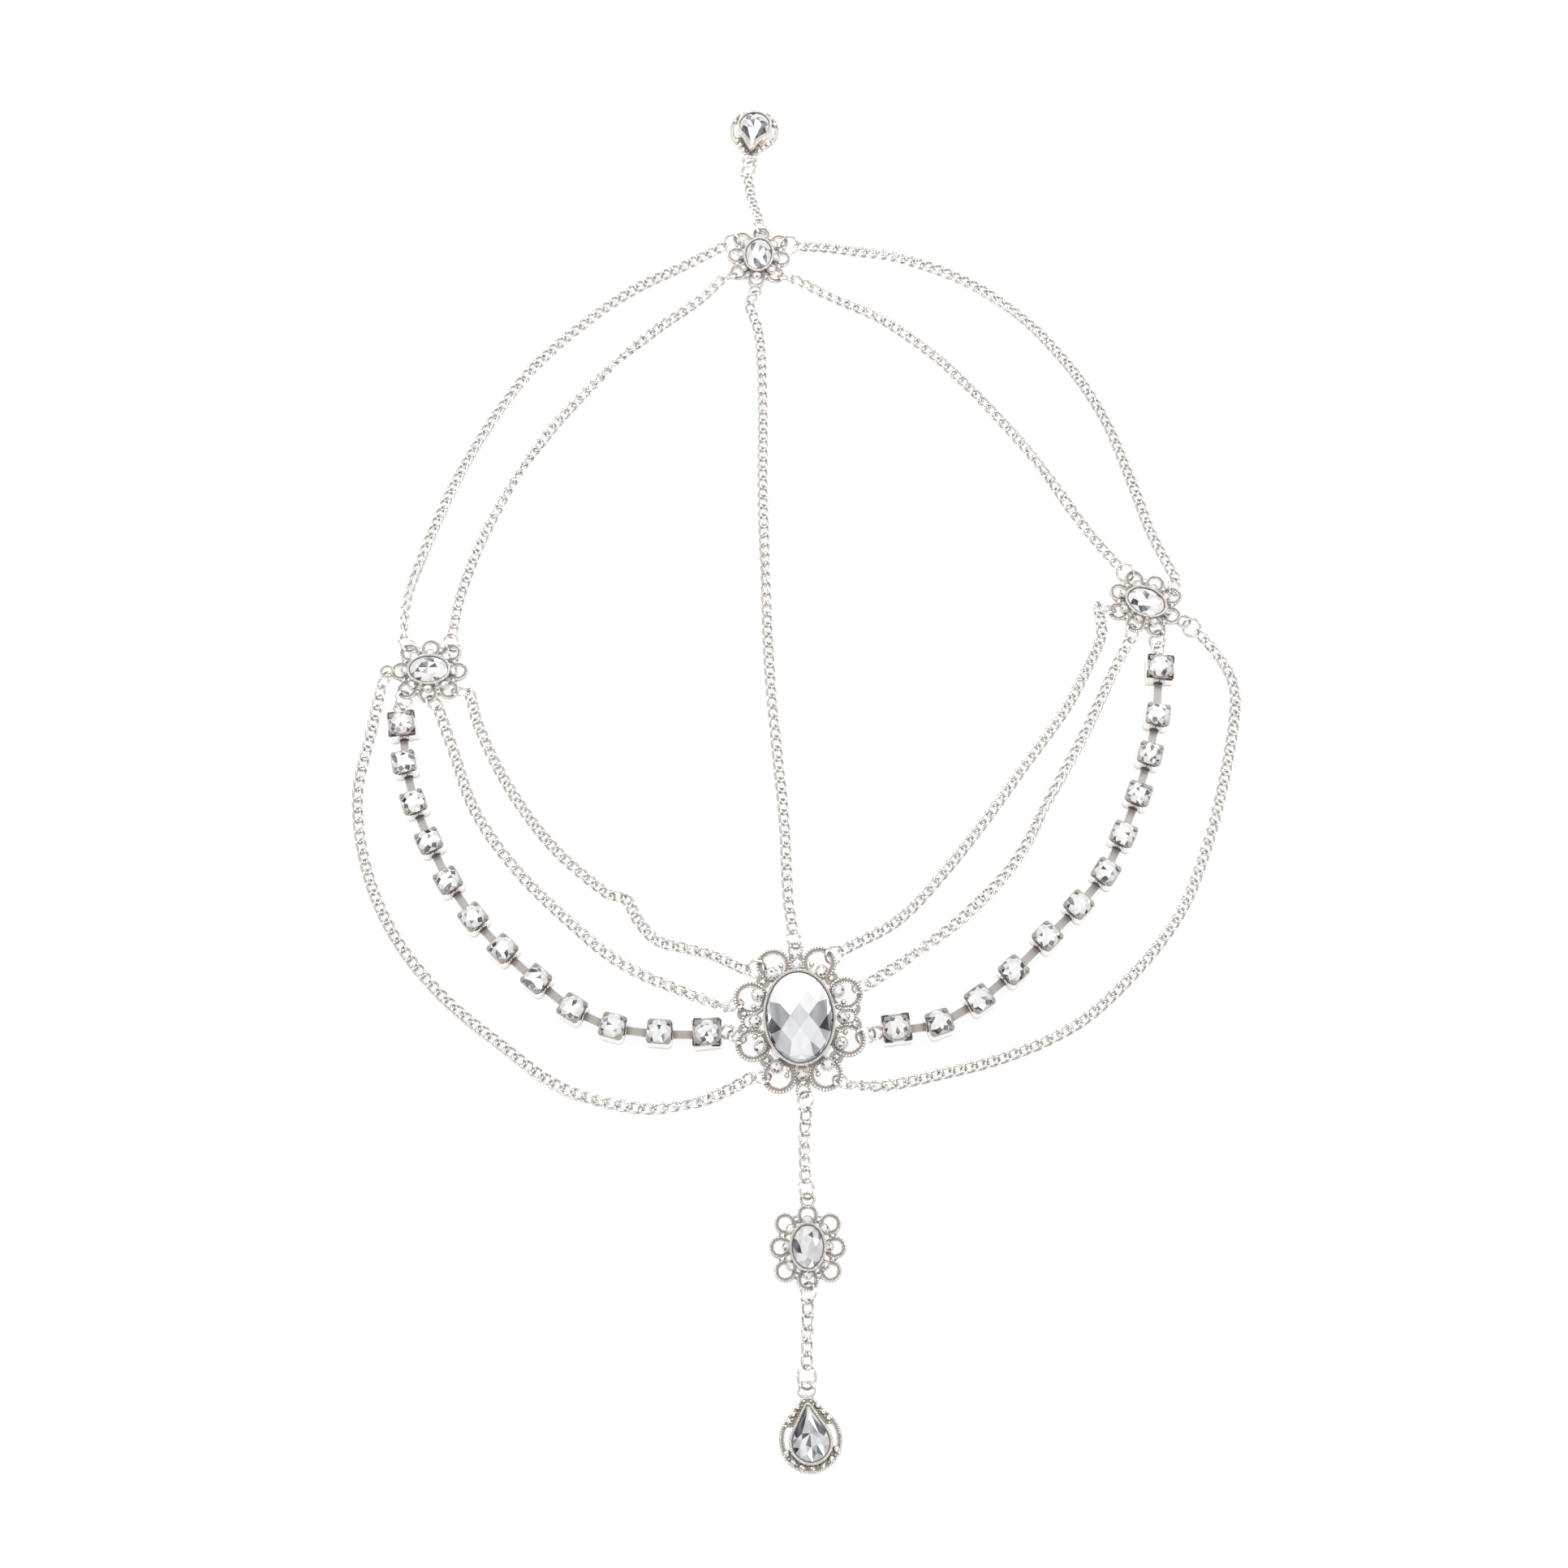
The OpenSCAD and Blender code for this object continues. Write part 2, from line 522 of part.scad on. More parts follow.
// a chain runs from ring to ring: [middle of the ring, its row, its radius]
module link_chain(from, route, to, links = 0, lift = 0) {
    path = concat([link_at(from[0], from[1], from[2], route[0])], flat_route(route, lift),
        [link_at(to[0], to[1], to[2], last(route))]);
    gaps = links > 0 ? links - 1 : round(length_of(path)/link_pitch);
    metal_colour() for (p = places(path, gaps))
        translate(p[0]) rotate([0, 0, p[1]]) rotate([0, -p[2], 0]) curb_link();
}

// Fine chain as one swept solid of 8 sides, as wide and as thick as its links
module swept_chain(from, route, to) {
    path = concat([clear_at(from[0], from[1], from[2], route[0])], flat_route(route),
        [clear_at(to[0], to[1], to[2], last(route))]);
    count = ceil(length_of(path)/(2.8*link_w));
    line = places(path, count);
    half_w = link_w/2 - 0.1;
    points = [for (p = line) for (k = [0:7]) let (u = 45*k + 22.5)
        p[0] + [-sin(p[1])*half_w*cos(u), cos(p[1])*half_w*cos(u), link_rest_z*sin(u)/cos(22.5)]];
    faces = concat(
        [[for (k = [0:7]) k]],
        [for (i = [0:count - 1]) for (k = [0:7]) let (j = (k + 1) % 8)
            each [[8*i + k, 8*i + 8 + k, 8*i + j], [8*i + j, 8*i + 8 + k, 8*i + 8 + j]]],
        [[for (k = [7:-1:0]) 8*count + k]]);
    metal_colour() polyhedron(points, faces, convexity = 6);
}

// Cup chains
slot_z = 1.1;
// the eye of an end box
eye_open = 1.4;
eye_r = 2.1;
eye_wall_in = 0.25;
strap_w = 2.4;
cup_corner = 1.3;
// claws at a cup's corners
claw_r = 0.55;
claw_in = 0.85;
claw_h = 1.1;
claw_root = 0.4;
// a bar's head behind its slot: its width past the bar on each side, and its length
head_side = 0.35;
head_l = 0.6;
function eye_at(strap) = box_w/2 + eye_r - eye_wall_in + strap;
module rounded(w, r) {
    square([w, w - 2*r], center = true);
    square([w - 2*r, w], center = true);
    for (x = [-1, 1]) for (y = [-1, 1]) translate([x*(w/2 - r), y*(w/2 - r)]) circle(r = r, $fn = 24);
}
module slot(a) {
    rotate([0, 0, a]) translate([cup_stone_d/2 - 0.9, -bar_w/2 - bar_gap, slot_z - bar_gap])
        cube([box_w/2, bar_w + 2*bar_gap, bar_t + 2*bar_gap]);
}
module claws() {
    at = cup_w/2 - claw_in;
    for (x = [-at, at]) for (y = [-at, at]) translate([x, y, cup_h - claw_root])
        cylinder(r = claw_r, h = claw_h, $fn = 20);
}
module cup_cavity() {
    translate([0, 0, bezel_floor]) cylinder(d = cup_stone_d + 2*stone_gap, h = cup_h, $fn = 48);
}
module cup(back, on) {
    difference() {
        linear_extrude(cup_h) rounded(cup_w, cup_corner);
        cup_cavity();
        slot(back);
        slot(on);
    }
    claws();
}
// end box with its eye towards -X, its slot in the direction given
module end_box(strap, on) {
    difference() {
        union() {
            translate([-box_w/2, -box_w/2, 0]) cube([box_w, box_w, cup_h]);
            translate([0, 0, web_z - web_t/2]) {
                translate([-eye_at(strap), 0, 0]) cylinder(r = eye_r, h = web_t, $fn = 48);
                translate([-box_w/2 - strap - eye_r/3, -strap_w/2, 0]) cube([strap + 1.2, strap_w, web_t]);
            }
        }
        translate([-eye_at(strap), 0, 0]) cylinder(r = eye_open, h = box_w, $fn = 48);
        cup_cavity();
        slot(on);
        translate([0, 0, cup_h - 1.2]) linear_extrude(cup_h) difference() {
            square(box_w - 0.8, center = true);
            rounded(cup_w - 0.3, cup_corner);
        }
    }
    claws();
}
// bar from cup to cup, its heads wider than the slots they sit behind
module bar(p, q) {
    l = norm(q - p);
    head = cup_stone_d/2 - 0.55 - head_l;
    translate([p[0], p[1], slot_z]) rotate([0, 0, heading(q - p)]) {
        translate([head, -bar_w/2, 0]) cube([l - 2*head, bar_w, bar_t]);
        for (x = [head, l - head - head_l]) translate([x, -bar_w/2 - head_side, 0])
            cube([head_l, bar_w + 2*head_side, bar_t]);
    }
}
// middle of the end box whose eye hangs on a ring
function box_at(ring, end) = ring[0] + ahead(ring[1][1], ring[2] + eye_open - hook(eye_open))
    + ahead(end[0], eye_at(end[1]));
function cup_line(from, cups, to, ends) = concat([box_at(from, ends[0])], cups, [box_at(to, ends[1])]);
module cup_chain(line, ends) {
    n = len(line) - 1;
    metal_colour() {
        translate(line[0]) rotate([0, 0, ends[0][0]])
            end_box(ends[0][1], heading(line[1] - line[0]) - ends[0][0]);
        translate(line[n]) rotate([0, 0, ends[1][0]])
            end_box(ends[1][1], heading(line[n - 1] - line[n]) - ends[1][0]);
        for (i = [1:n - 1]) let (a = heading(line[i + 1] - line[i - 1]))
            translate(line[i]) rotate([0, 0, a])
                cup(heading(line[i - 1] - line[i]) - a, heading(line[i + 1] - line[i]) - a);
    }
    color([0.71, 0.72, 0.69]) for (i = [0:n - 1]) bar(line[i], line[i + 1]);
}
module cup_stones(line) {
    n = len(line) - 1;
    stone_colour() for (i = [0:n])
        translate(concat(line[i], [cup_h - 0.25]))
            rotate([0, 0, heading(line[min(i + 1, n)] - line[max(i - 1, 0)]) + 22.5])
                chaton(cup_stone_d - 0.1);
}

// Jump rings that carry something: [middle, row, radius]
function hold(holes, at, turn, row) = [ring_at(holes, at, turn, row, ring_r), row, ring_r];
function centre_ring(i) = hold(BIG_HOLES, CENTRE, CENTRE_TURN, CENTRE_RINGS[i]);
function top_ring(i) = hold(SMALL_HOLES, TOP, TOP_TURN, TOP_RINGS[i]);
function left_ring(i) = hold(SMALL_HOLES, LEFT, LEFT_TURN, LEFT_RINGS[i]);
function right_ring(i) = hold(SMALL_HOLES, RIGHT, RIGHT_TURN, RIGHT_RINGS[i]);
function drop_ring(i) = hold(SMALL_HOLES, DROP, DROP_TURN, DROP_RINGS[i]);
function pear_ring_at(at, turn, pull) =
    at + turned([0, bail_at], turn) + ahead(pull, bail_open - hook(bail_open) + pear_ring_r);
top_pear_hold = [pear_ring_at(TOP_PEAR, TOP_PEAR_TURN, TOP_PEAR_PULL), [0, TOP_PEAR_PULL, 1], pear_ring_r];
bottom_pear_hold = [
    pear_ring_at(BOTTOM_PEAR, BOTTOM_PEAR_TURN, BOTTOM_PEAR_PULL), [0, BOTTOM_PEAR_PULL, 1], pear_ring_r
];
left_cups = cup_line(left_ring(3), LEFT_CUPS, centre_ring(4), LEFT_ENDS);
right_cups = cup_line(right_ring(4), RIGHT_CUPS, centre_ring(7), RIGHT_ENDS);

module centre_setting() { metal_colour() lay(CENTRE, CENTRE_TURN) big_setting(); }
module centre_stone() { stone_colour() lay(CENTRE, CENTRE_TURN) big_stone(); }
module centre_chatons() { stone_colour() lay(CENTRE, CENTRE_TURN) chatons(BIG_CHATONS, big_chaton_d); }
module top_setting() { metal_colour() lay(TOP, TOP_TURN) small_setting(); }
module top_stone() { stone_colour() lay(TOP, TOP_TURN) small_stone(); }
module top_chatons() { stone_colour() lay(TOP, TOP_TURN) chatons(SMALL_CHATONS, small_chaton_d); }
module left_setting() { metal_colour() lay(LEFT, LEFT_TURN) small_setting(); }
module left_stone() { stone_colour() lay(LEFT, LEFT_TURN) small_stone(); }
module left_chatons() { stone_colour() lay(LEFT, LEFT_TURN) chatons(SMALL_CHATONS, small_chaton_d); }
module right_setting() { metal_colour() lay(RIGHT, RIGHT_TURN) small_setting(); }
module right_stone() { stone_colour() lay(RIGHT, RIGHT_TURN) small_stone(); }
module right_chatons() { stone_colour() lay(RIGHT, RIGHT_TURN) chatons(SMALL_CHATONS, small_chaton_d); }
module drop_setting() { metal_colour() lay(DROP, DROP_TURN) small_setting(); }
module drop_stone() { stone_colour() lay(DROP, DROP_TURN) small_stone(); }
module drop_chatons() { stone_colour() lay(DROP, DROP_TURN) chatons(SMALL_CHATONS, small_chaton_d); }
module top_pear_setting() { metal_colour() lay(TOP_PEAR, TOP_PEAR_TURN) pear_setting(); }
module top_pear_stone() { stone_colour() lay(TOP_PEAR, TOP_PEAR_TURN) pear_stone(); }
module bottom_pear_setting() { metal_colour() lay(BOTTOM_PEAR, BOTTOM_PEAR_TURN) pear_setting(); }
module bottom_pear_stone() { stone_colour() lay(BOTTOM_PEAR, BOTTOM_PEAR_TURN) pear_stone(); }
module left_cup_chain() { cup_chain(left_cups, LEFT_ENDS); }
module left_cup_stones() { cup_stones(left_cups); }
module right_cup_chain() { cup_chain(right_cups, RIGHT_ENDS); }
module right_cup_stones() { cup_stones(right_cups); }
module centre_rings() { metal_colour() rings(CENTRE_RINGS, BIG_HOLES, CENTRE, CENTRE_TURN); }
module top_rings() { metal_colour() rings(TOP_RINGS, SMALL_HOLES, TOP, TOP_TURN); }
module left_rings() { metal_colour() rings(LEFT_RINGS, SMALL_HOLES, LEFT, LEFT_TURN); }
module right_rings() { metal_colour() rings(RIGHT_RINGS, SMALL_HOLES, RIGHT, RIGHT_TURN); }
module drop_rings() { metal_colour() rings(DROP_RINGS, SMALL_HOLES, DROP, DROP_TURN); }
module top_pear_ring() {
    metal_colour() ring(top_pear_hold[0], TOP_PEAR_PULL, pear_ring_r, pear_slant, 1);
}
module bottom_pear_ring() {
    metal_colour() ring(bottom_pear_hold[0], BOTTOM_PEAR_PULL, pear_ring_r, pear_slant, 1);
}
module centre_chain() { link_chain(top_ring(0), CENTRE_ROUTE, centre_ring(0)); }
module top_drop_chain() {
    link_chain(top_pear_hold, TOP_DROP_ROUTE, top_ring(1), top_drop_links, top_drop_lift);
}
module upper_drop_chain() { link_chain(centre_ring(9), UPPER_DROP_ROUTE, drop_ring(0), upper_drop_links); }
module lower_drop_chain() { link_chain(drop_ring(1), LOWER_DROP_ROUTE, bottom_pear_hold, lower_drop_links); }
module outer_top_left_chain() { swept_chain(top_ring(2), OUTER_TOP_LEFT_ROUTE, left_ring(0)); }
module inner_top_left_chain() { swept_chain(top_ring(4), INNER_TOP_LEFT_ROUTE, left_ring(1)); }
module inner_top_right_chain() { swept_chain(top_ring(5), INNER_TOP_RIGHT_ROUTE, right_ring(0)); }
module outer_top_right_chain() { swept_chain(top_ring(3), OUTER_TOP_RIGHT_ROUTE, right_ring(1)); }
module outer_left_swag() { swept_chain(left_ring(2), OUTER_LEFT_ROUTE, centre_ring(5)); }
module middle_left_swag() { swept_chain(left_ring(4), MIDDLE_LEFT_ROUTE, centre_ring(3)); }
module inner_left_swag() { swept_chain(left_ring(5), INNER_LEFT_ROUTE, centre_ring(1)); }
module inner_right_swag() { swept_chain(right_ring(2), INNER_RIGHT_ROUTE, centre_ring(2)); }
module middle_right_swag() { swept_chain(right_ring(3), MIDDLE_RIGHT_ROUTE, centre_ring(6)); }
module outer_right_swag() { swept_chain(right_ring(5), OUTER_RIGHT_ROUTE, centre_ring(8)); }

centre_setting();
centre_stone();
centre_chatons();
top_setting();
top_stone();
top_chatons();
left_setting();
left_stone();
left_chatons();
right_setting();
right_stone();
right_chatons();
drop_setting();
drop_stone();
drop_chatons();
top_pear_setting();
top_pear_stone();
bottom_pear_setting();
bottom_pear_stone();
left_cup_chain();
left_cup_stones();
right_cup_chain();
right_cup_stones();
centre_rings();
top_rings();
left_rings();
right_rings();
drop_rings();
top_pear_ring();
bottom_pear_ring();
centre_chain();
top_drop_chain();
upper_drop_chain();
lower_drop_chain();
outer_top_left_chain();
inner_top_left_chain();
inner_top_right_chain();
outer_top_right_chain();
outer_left_swag();
middle_left_swag();
inner_left_swag();
inner_right_swag();
middle_right_swag();
outer_right_swag();
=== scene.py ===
# %% [markdown]
# # A hair chain laid out flat
# The hair chain is a ring of fine curb chains for the head, joined at small cast settings with
# oval stones. A centre strand runs down to a large setting with a big cut stone and a pendant, and
# swags and two cup chains hang between the settings. All of it is bright silver-coloured plating
# and clear crystal on a white table.
#
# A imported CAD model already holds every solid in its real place. This lesson keeps the solids that
# are right, such as castings, jump rings and cups, and gives them finishes. It rebuilds what the
# solids only block out: the fine chains link by link, the stones facet by facet, and the beading.

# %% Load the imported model
import math
import random

import bmesh
import bpy
import numpy as np
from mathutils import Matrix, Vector


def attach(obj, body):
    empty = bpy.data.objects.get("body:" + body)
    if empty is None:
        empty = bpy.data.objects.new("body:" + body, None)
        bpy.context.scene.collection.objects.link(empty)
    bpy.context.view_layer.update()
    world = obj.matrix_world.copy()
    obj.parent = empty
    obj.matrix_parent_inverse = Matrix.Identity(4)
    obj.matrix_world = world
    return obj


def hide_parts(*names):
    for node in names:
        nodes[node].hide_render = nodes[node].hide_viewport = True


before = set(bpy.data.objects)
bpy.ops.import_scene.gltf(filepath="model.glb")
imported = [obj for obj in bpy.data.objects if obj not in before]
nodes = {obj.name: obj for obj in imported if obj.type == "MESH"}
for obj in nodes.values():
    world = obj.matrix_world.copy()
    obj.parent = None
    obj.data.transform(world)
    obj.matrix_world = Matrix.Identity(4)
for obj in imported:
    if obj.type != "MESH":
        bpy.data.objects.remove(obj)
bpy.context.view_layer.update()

MM = 0.001

# %% [markdown]
# ## The camera
# The photograph looks down on the table from the foot of the piece, 21 degrees off the vertical.
# A camera is placed at that distance, because Blender's fitting helpers assume another
# picture shape. Chains near the lower edge are closer to it, so they look a little larger.

# %% Camera
CAMERA_AT = (-4.14, -136.67, 535.33)
CAMERA_TILT = 21
CAMERA_LENS = 46.6

camera_data = bpy.data.cameras.new("camera")
camera_data.lens = CAMERA_LENS
camera_data.sensor_width = 36
camera_data.clip_start = 0.01
camera = bpy.data.objects.new("camera", camera_data)
camera.location = [c*MM for c in CAMERA_AT]
camera.rotation_euler = (math.radians(CAMERA_TILT), 0, 0)
bpy.context.scene.collection.objects.link(camera)
bpy.context.scene.camera = camera
print("camera", round(math.dist(CAMERA_AT, (0, 0, 0))), "mm from the large setting")

# %% [markdown]
# ## Writing finishes as sums
# A finish is a small graph of shader nodes. Wiring each one by hand hides the idea, so an output
# socket is wrapped in a class on which sums can be written: `1 - depth*0.5` adds the two Math
# nodes it needs. Every other node comes from one method that takes the node's type, its settings
# and the values or wires of its sockets.

# %% Sums on sockets
class Wire:
    """An output of a node, on which sums can be written."""

    def __init__(self, graph, socket):
        self.graph, self.socket = graph, socket

    def sum(self, operation, first, second=0.0):
        return self.graph.node("ShaderNodeMath", {"operation": operation}, {0: first, 1: second})

    def __add__(self, other):
        return self.sum("ADD", self, other)

    def __sub__(self, other):
        return self.sum("SUBTRACT", self, other)

    def __rsub__(self, other):
        return self.sum("SUBTRACT", other, self)

    def __mul__(self, other):
        return self.sum("MULTIPLY", self, other)

    def above(self, limit):
        """1 where the value is above a limit, and 0 elsewhere."""
        return self.sum("GREATER_THAN", self, limit)

    def held(self):
        """The same value, kept between 0 and 1."""
        return self.graph.node("ShaderNodeClamp", {}, {"Value": self})

    __radd__, __rmul__ = __add__, __mul__


class Graph:
    """A tree of shader nodes that is built from nodes and Wire sums."""

    def __init__(self, tree):
        self.tree = tree

    def node(self, kind, settings, sockets, out=0):
        made = self.tree.nodes.new(kind)
        for key, value in settings.items():
            if key == "stops":
                fill_ramp(made.color_ramp, value)
            else:
                setattr(made, key, value)
        for key, value in sockets.items():
            self.feed(made.inputs[key], value)
        return Wire(self, made.outputs[out])

    def feed(self, socket, value):
        if isinstance(value, Wire):
            self.tree.links.new(value.socket, socket)
        else:
            socket.default_value = value

    def blend(self, share, low, high):
        """A colour between two colours."""
        return self.node("ShaderNodeMix", {"data_type": "RGBA"}, {0: share, 6: low, 7: high}, 2)


class Finish(Graph):
    """The graph of a material."""

    def __init__(self, name):
        self.material = bpy.data.materials.new(name)
        self.material.use_nodes = True
        super().__init__(self.material.node_tree)
        self.shader = self.tree.nodes["Principled BSDF"]

    def surface(self, **sockets):
        for key, value in sockets.items():
            self.feed(self.shader.inputs[key.replace("_", " ")], value)
        return self.material


def fill_ramp(ramp, stops):
    """Sets a ramp's stops: position and colour."""
    while len(ramp.elements) < len(stops):
        ramp.elements.new(1)
    for element, (position, colour) in zip(ramp.elements, stops):
        element.position, element.color = position, colour


def grey(level, warmth=0.0):
    """A grey colour, a little warmer or cooler than neutral."""
    return (level*(1 + warmth), level, level*(1 - warmth), 1)


print("finishes are written with Wire and Finish")

# %% [markdown]
# ## Bright plating
# The castings, rings, chains and cups have one plating: a bright silver colour with a faint warm
# cast. It is mirror-like on the crests. In the recesses, and on sides that face the table close
# below, a taupe shade is painted into the colour and the metal is made rougher: painted shade for
# the shadow the parts cast on each other and the dim light they reflect into each other. Ambient
# occlusion finds them from the shape alone, so the painted shade stays in place from any side.
#
# Some flat faces are dull and painted with the same taupe shade as well: the channel between
# two rows of beading, and the tops of the flat bars. They are the only faces that look straight up
# at their height, so a height and the direction of the face find them.

# %% Plating finish
BRIGHT = (0.93, 0.91, 0.885, 1)
# The colour of the painted shade in recesses, near the table, on flat channels and on claw tips.
SHADE_TAUPE = (0.35, 0.305, 0.265, 1)
LOOKS_UP = 0.9
CLOUD_SHARE = 0.3
# How strongly the claw tips are darkened with painted shadow.
TIP_SHADOW = 0.75


def plating(name, roughness, grain_depth, reach, shade, dull_shade_band=(0.0, 0.0, 0.0), shade_tips_from=None):
    """The band gives the lowest and highest place and the amount of painted shade on flat faces;
    above the tips height the claws get painted shadow.
    """
    finish = Finish(name)
    place = finish.node("ShaderNodeTexCoord", {}, {}, "Object")
    grain = finish.node("ShaderNodeTexNoise", {}, {"Vector": place, "Scale": 2200, "Detail": 1})
    cloud = finish.node("ShaderNodeTexNoise", {}, {"Vector": place, "Scale": 160, "Detail": 3})
    open_share = finish.node("ShaderNodeAmbientOcclusion", {"samples": 3}, {
        "Distance": reach*MM}, "AO")
    # Painted shade: ambient occlusion darkens recesses and sides near the table towards taupe; a
    # cloud adds random tone.
    shade_and_cloud = (1 - open_share)*shade + (cloud - 0.5)*CLOUD_SHARE
    level = finish.node("ShaderNodeSeparateXYZ", {}, {0: place}, "Z")
    dull_shade_from, dull_shade_to, dull_shade_share = dull_shade_band
    if dull_shade_share:
        facing = finish.node("ShaderNodeNewGeometry", {}, {}, "Normal")
        upward = finish.node("ShaderNodeSeparateXYZ", {}, {0: facing}, "Z").above(LOOKS_UP)
        # Painted shade on flat faces that look up within the band; they are made rougher too.
        band = upward*level.above(dull_shade_from*MM)*(1 - level.above(dull_shade_to*MM))
        shade_and_cloud = shade_and_cloud + band*dull_shade_share
    if shade_tips_from:
        # Painted shadow on the claws: everything above the tips height is darkened to taupe.
        shade_and_cloud = shade_and_cloud + level.above(shade_tips_from*MM)*TIP_SHADOW
    shade_and_cloud = shade_and_cloud.held()
    height = finish.node("ShaderNodeBump", {}, {
        "Strength": 0.3, "Distance": grain_depth*MM, "Height": grain})
    return finish.surface(
        Base_Color=finish.blend(shade_and_cloud, BRIGHT, SHADE_TAUPE), Metallic=1.0,
        Roughness=(shade_and_cloud*0.25 + cloud*0.1 + roughness).held(), Normal=height)


CAST = plating("cast plating", roughness=0.1, grain_depth=0.03, reach=1.5, shade=1.5,
               dull_shade_band=(2.4, 2.72, 0.38))
CHAIN = plating("chain plating", roughness=0.12, grain_depth=0.02, reach=1.3, shade=1.2)
RING = plating("ring plating", roughness=0.08, grain_depth=0.02, reach=1.8, shade=1.1)
# The claws of the cups, above 5.25 mm, get painted shadow.
CUP = plating("cup plating", roughness=0.12, grain_depth=0.01, reach=1.8, shade=1.6,
              dull_shade_band=(0.5, 2.3, 0.5), shade_tips_from=5.25)
print("plating finishes:", [m.name for m in (CAST, CHAIN, RING, CUP)])

# %% [markdown]
# ## Foiled crystal
# The stones are clear, with a mirror foil behind, so each facet flashes white, grey or nearly
# black. Real refraction needs many samples and comes out grey in a short render. Instead each
# facet carries a painted reflection: its own tone, chosen when the stone is cut, and it stays glossy
# enough to pick up the lights as well. A soft painted streak of light and dark across the stone
# keeps the big facets from looking flat.

# %% Crystal finish
def crystal(name, streak_size, streak_share):
    finish = Finish(name)
    tone = finish.node("ShaderNodeAttribute", {"attribute_name": "tone"}, {}, "Fac")
    place = finish.node("ShaderNodeTexCoord", {}, {}, "Object")
    turned_place = finish.node("ShaderNodeMapping", {}, {
        "Vector": place, "Rotation": (0.3, 0.2, 0.7), "Scale": (1, 0.3, 1)})
    reflection_streak = finish.node("ShaderNodeTexNoise", {}, {
        "Vector": turned_place, "Scale": 1/(streak_size*MM), "Detail": 1})
    # The facet tone and the streak are painted reflection.
    level = (tone + (reflection_streak - 0.5)*streak_share).held()
    colour = finish.node("ShaderNodeValToRGB", {"stops": [
        (0, (0.025, 0.025, 0.035, 1)), (0.25, (0.26, 0.27, 0.31, 1)), (0.5, (0.6, 0.62, 0.65, 1)),
        (0.75, (0.9, 0.91, 0.93, 1)), (1, (1, 1, 1, 1))]}, {"Fac": level})
    return finish.surface(Base_Color=colour, Metallic=0.35, Roughness=0.04, Coat_Weight=1.0)


BIG_CRYSTAL = crystal("large crystal", streak_size=3.0, streak_share=0.4)
SMALL_CRYSTAL = crystal("small crystal", streak_size=1.6, streak_share=0.6)
print("crystal finishes:", BIG_CRYSTAL.name, "and", SMALL_CRYSTAL.name)

# %% [markdown]
# ## Turning lists of points into pieces
# Every piece is a mesh made from arrays of points in millimetres. `joined` copies one small
# template to many places, which is how hundreds of links and beads stay one light mesh. `piece`
# writes the mesh, gives it its finish and ties it to the model.

# %% Mesh helpers
def joined(points, faces, frames):
    """One template at many places: each frame is a 3 by 3 matrix and a point."""
    all_points = np.concatenate([points @ np.asarray(turn).T + at for turn, at in frames])
    step = len(points)
    return all_points, [[v + k*step for v in face] for k in range(len(frames)) for face in faces]


def piece(name, points, faces, finish, replaced=(), slot=None, tones=None, smooth=True):
    mesh = bpy.data.meshes.new(name)
    mesh.from_pydata((np.asarray(points)*MM).tolist(), [], faces)
    mesh.materials.append(finish)
    mesh.polygons.foreach_set("use_smooth", [smooth]*len(faces))
    if tones is not None:
        mesh.attributes.new("tone", "FLOAT", "FACE").data.foreach_set("value", tones)
    mesh.update()
    made = bpy.data.objects.new(name, mesh)
    bpy.context.scene.collection.objects.link(made)
    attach(made, "root")
    if replaced:
        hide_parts(*replaced)


def spin(degrees):
    """The matrix of a turn about the upright axis."""
    c, s = math.cos(math.radians(degrees)), math.sin(math.radians(degrees))
    return np.array([[c, -s, 0], [s, c, 0], [0, 0, 1]])


def roll(degrees):
    """The matrix of a turn about the X axis, which chains run along."""
    c, s = math.cos(math.radians(degrees)), math.sin(math.radians(degrees))
    return np.array([[1, 0, 0], [0, c, -s], [0, s, c]])


def climb(degrees):
    """The matrix that lifts the X axis by a slope."""
    c, s = math.cos(math.radians(degrees)), math.sin(math.radians(degrees))
    return np.array([[c, 0, -s], [0, 1, 0], [s, 0, c]])


print("helpers: joined, piece, spin, roll, climb")

# %% [markdown]
# ## Where everything lies
# The CAD model places each setting by its middle and its turn. The same numbers are repeated here
# in millimetres, because the new stones, beads and chains have to sit exactly on the solids that
# stay. Openings are listed as middle, outer radius and opening radius.

# %% Layout of the settings
WEB_TOP = 2.64
WEB_MIDDLE = 2.238
CHATON_TOP = 3.34
PLACES = {
    "centre": ((0, 0), 3), "top": ((-12, 244), 175), "left": ((-106, 102.5), 90),
    "right": ((101, 124), -117), "drop": ((2, -60.5), 0),
    "top_pear": ((-13.8, 291), 173), "bottom_pear": ((2.4, -106.5), 5),
}
PETAL_R, PETAL_OPEN, EAR_R, EAR_OPEN, EAR_AT = 2.9, 1.75, 2.1, 1.4, 12.22
SMALL_OPENINGS = [
    (0, EAR_AT - 4, PETAL_R, PETAL_OPEN), (5.8, 6, PETAL_R, PETAL_OPEN),
    (7.1, 0, PETAL_R, PETAL_OPEN), (5.8, -6, PETAL_R, PETAL_OPEN),
    (0, 4 - EAR_AT, PETAL_R, PETAL_OPEN), (-5.8, -6, PETAL_R, PETAL_OPEN),
    (-7.1, 0, PETAL_R, PETAL_OPEN), (-5.8, 6, PETAL_R, PETAL_OPEN), (0, EAR_AT, EAR_R, EAR_OPEN),
]
SMALL_CHATONS = [
    (0, 6.8), (4.3, 4.6), (5.3, 0.1), (4.3, -4.6), (0, -6.8), (-4.3, -4.6), (-5.3, 0.1),
    (-4.3, 4.6)]
LOBE_R, LOBE_OPEN = 4.7, 3.2
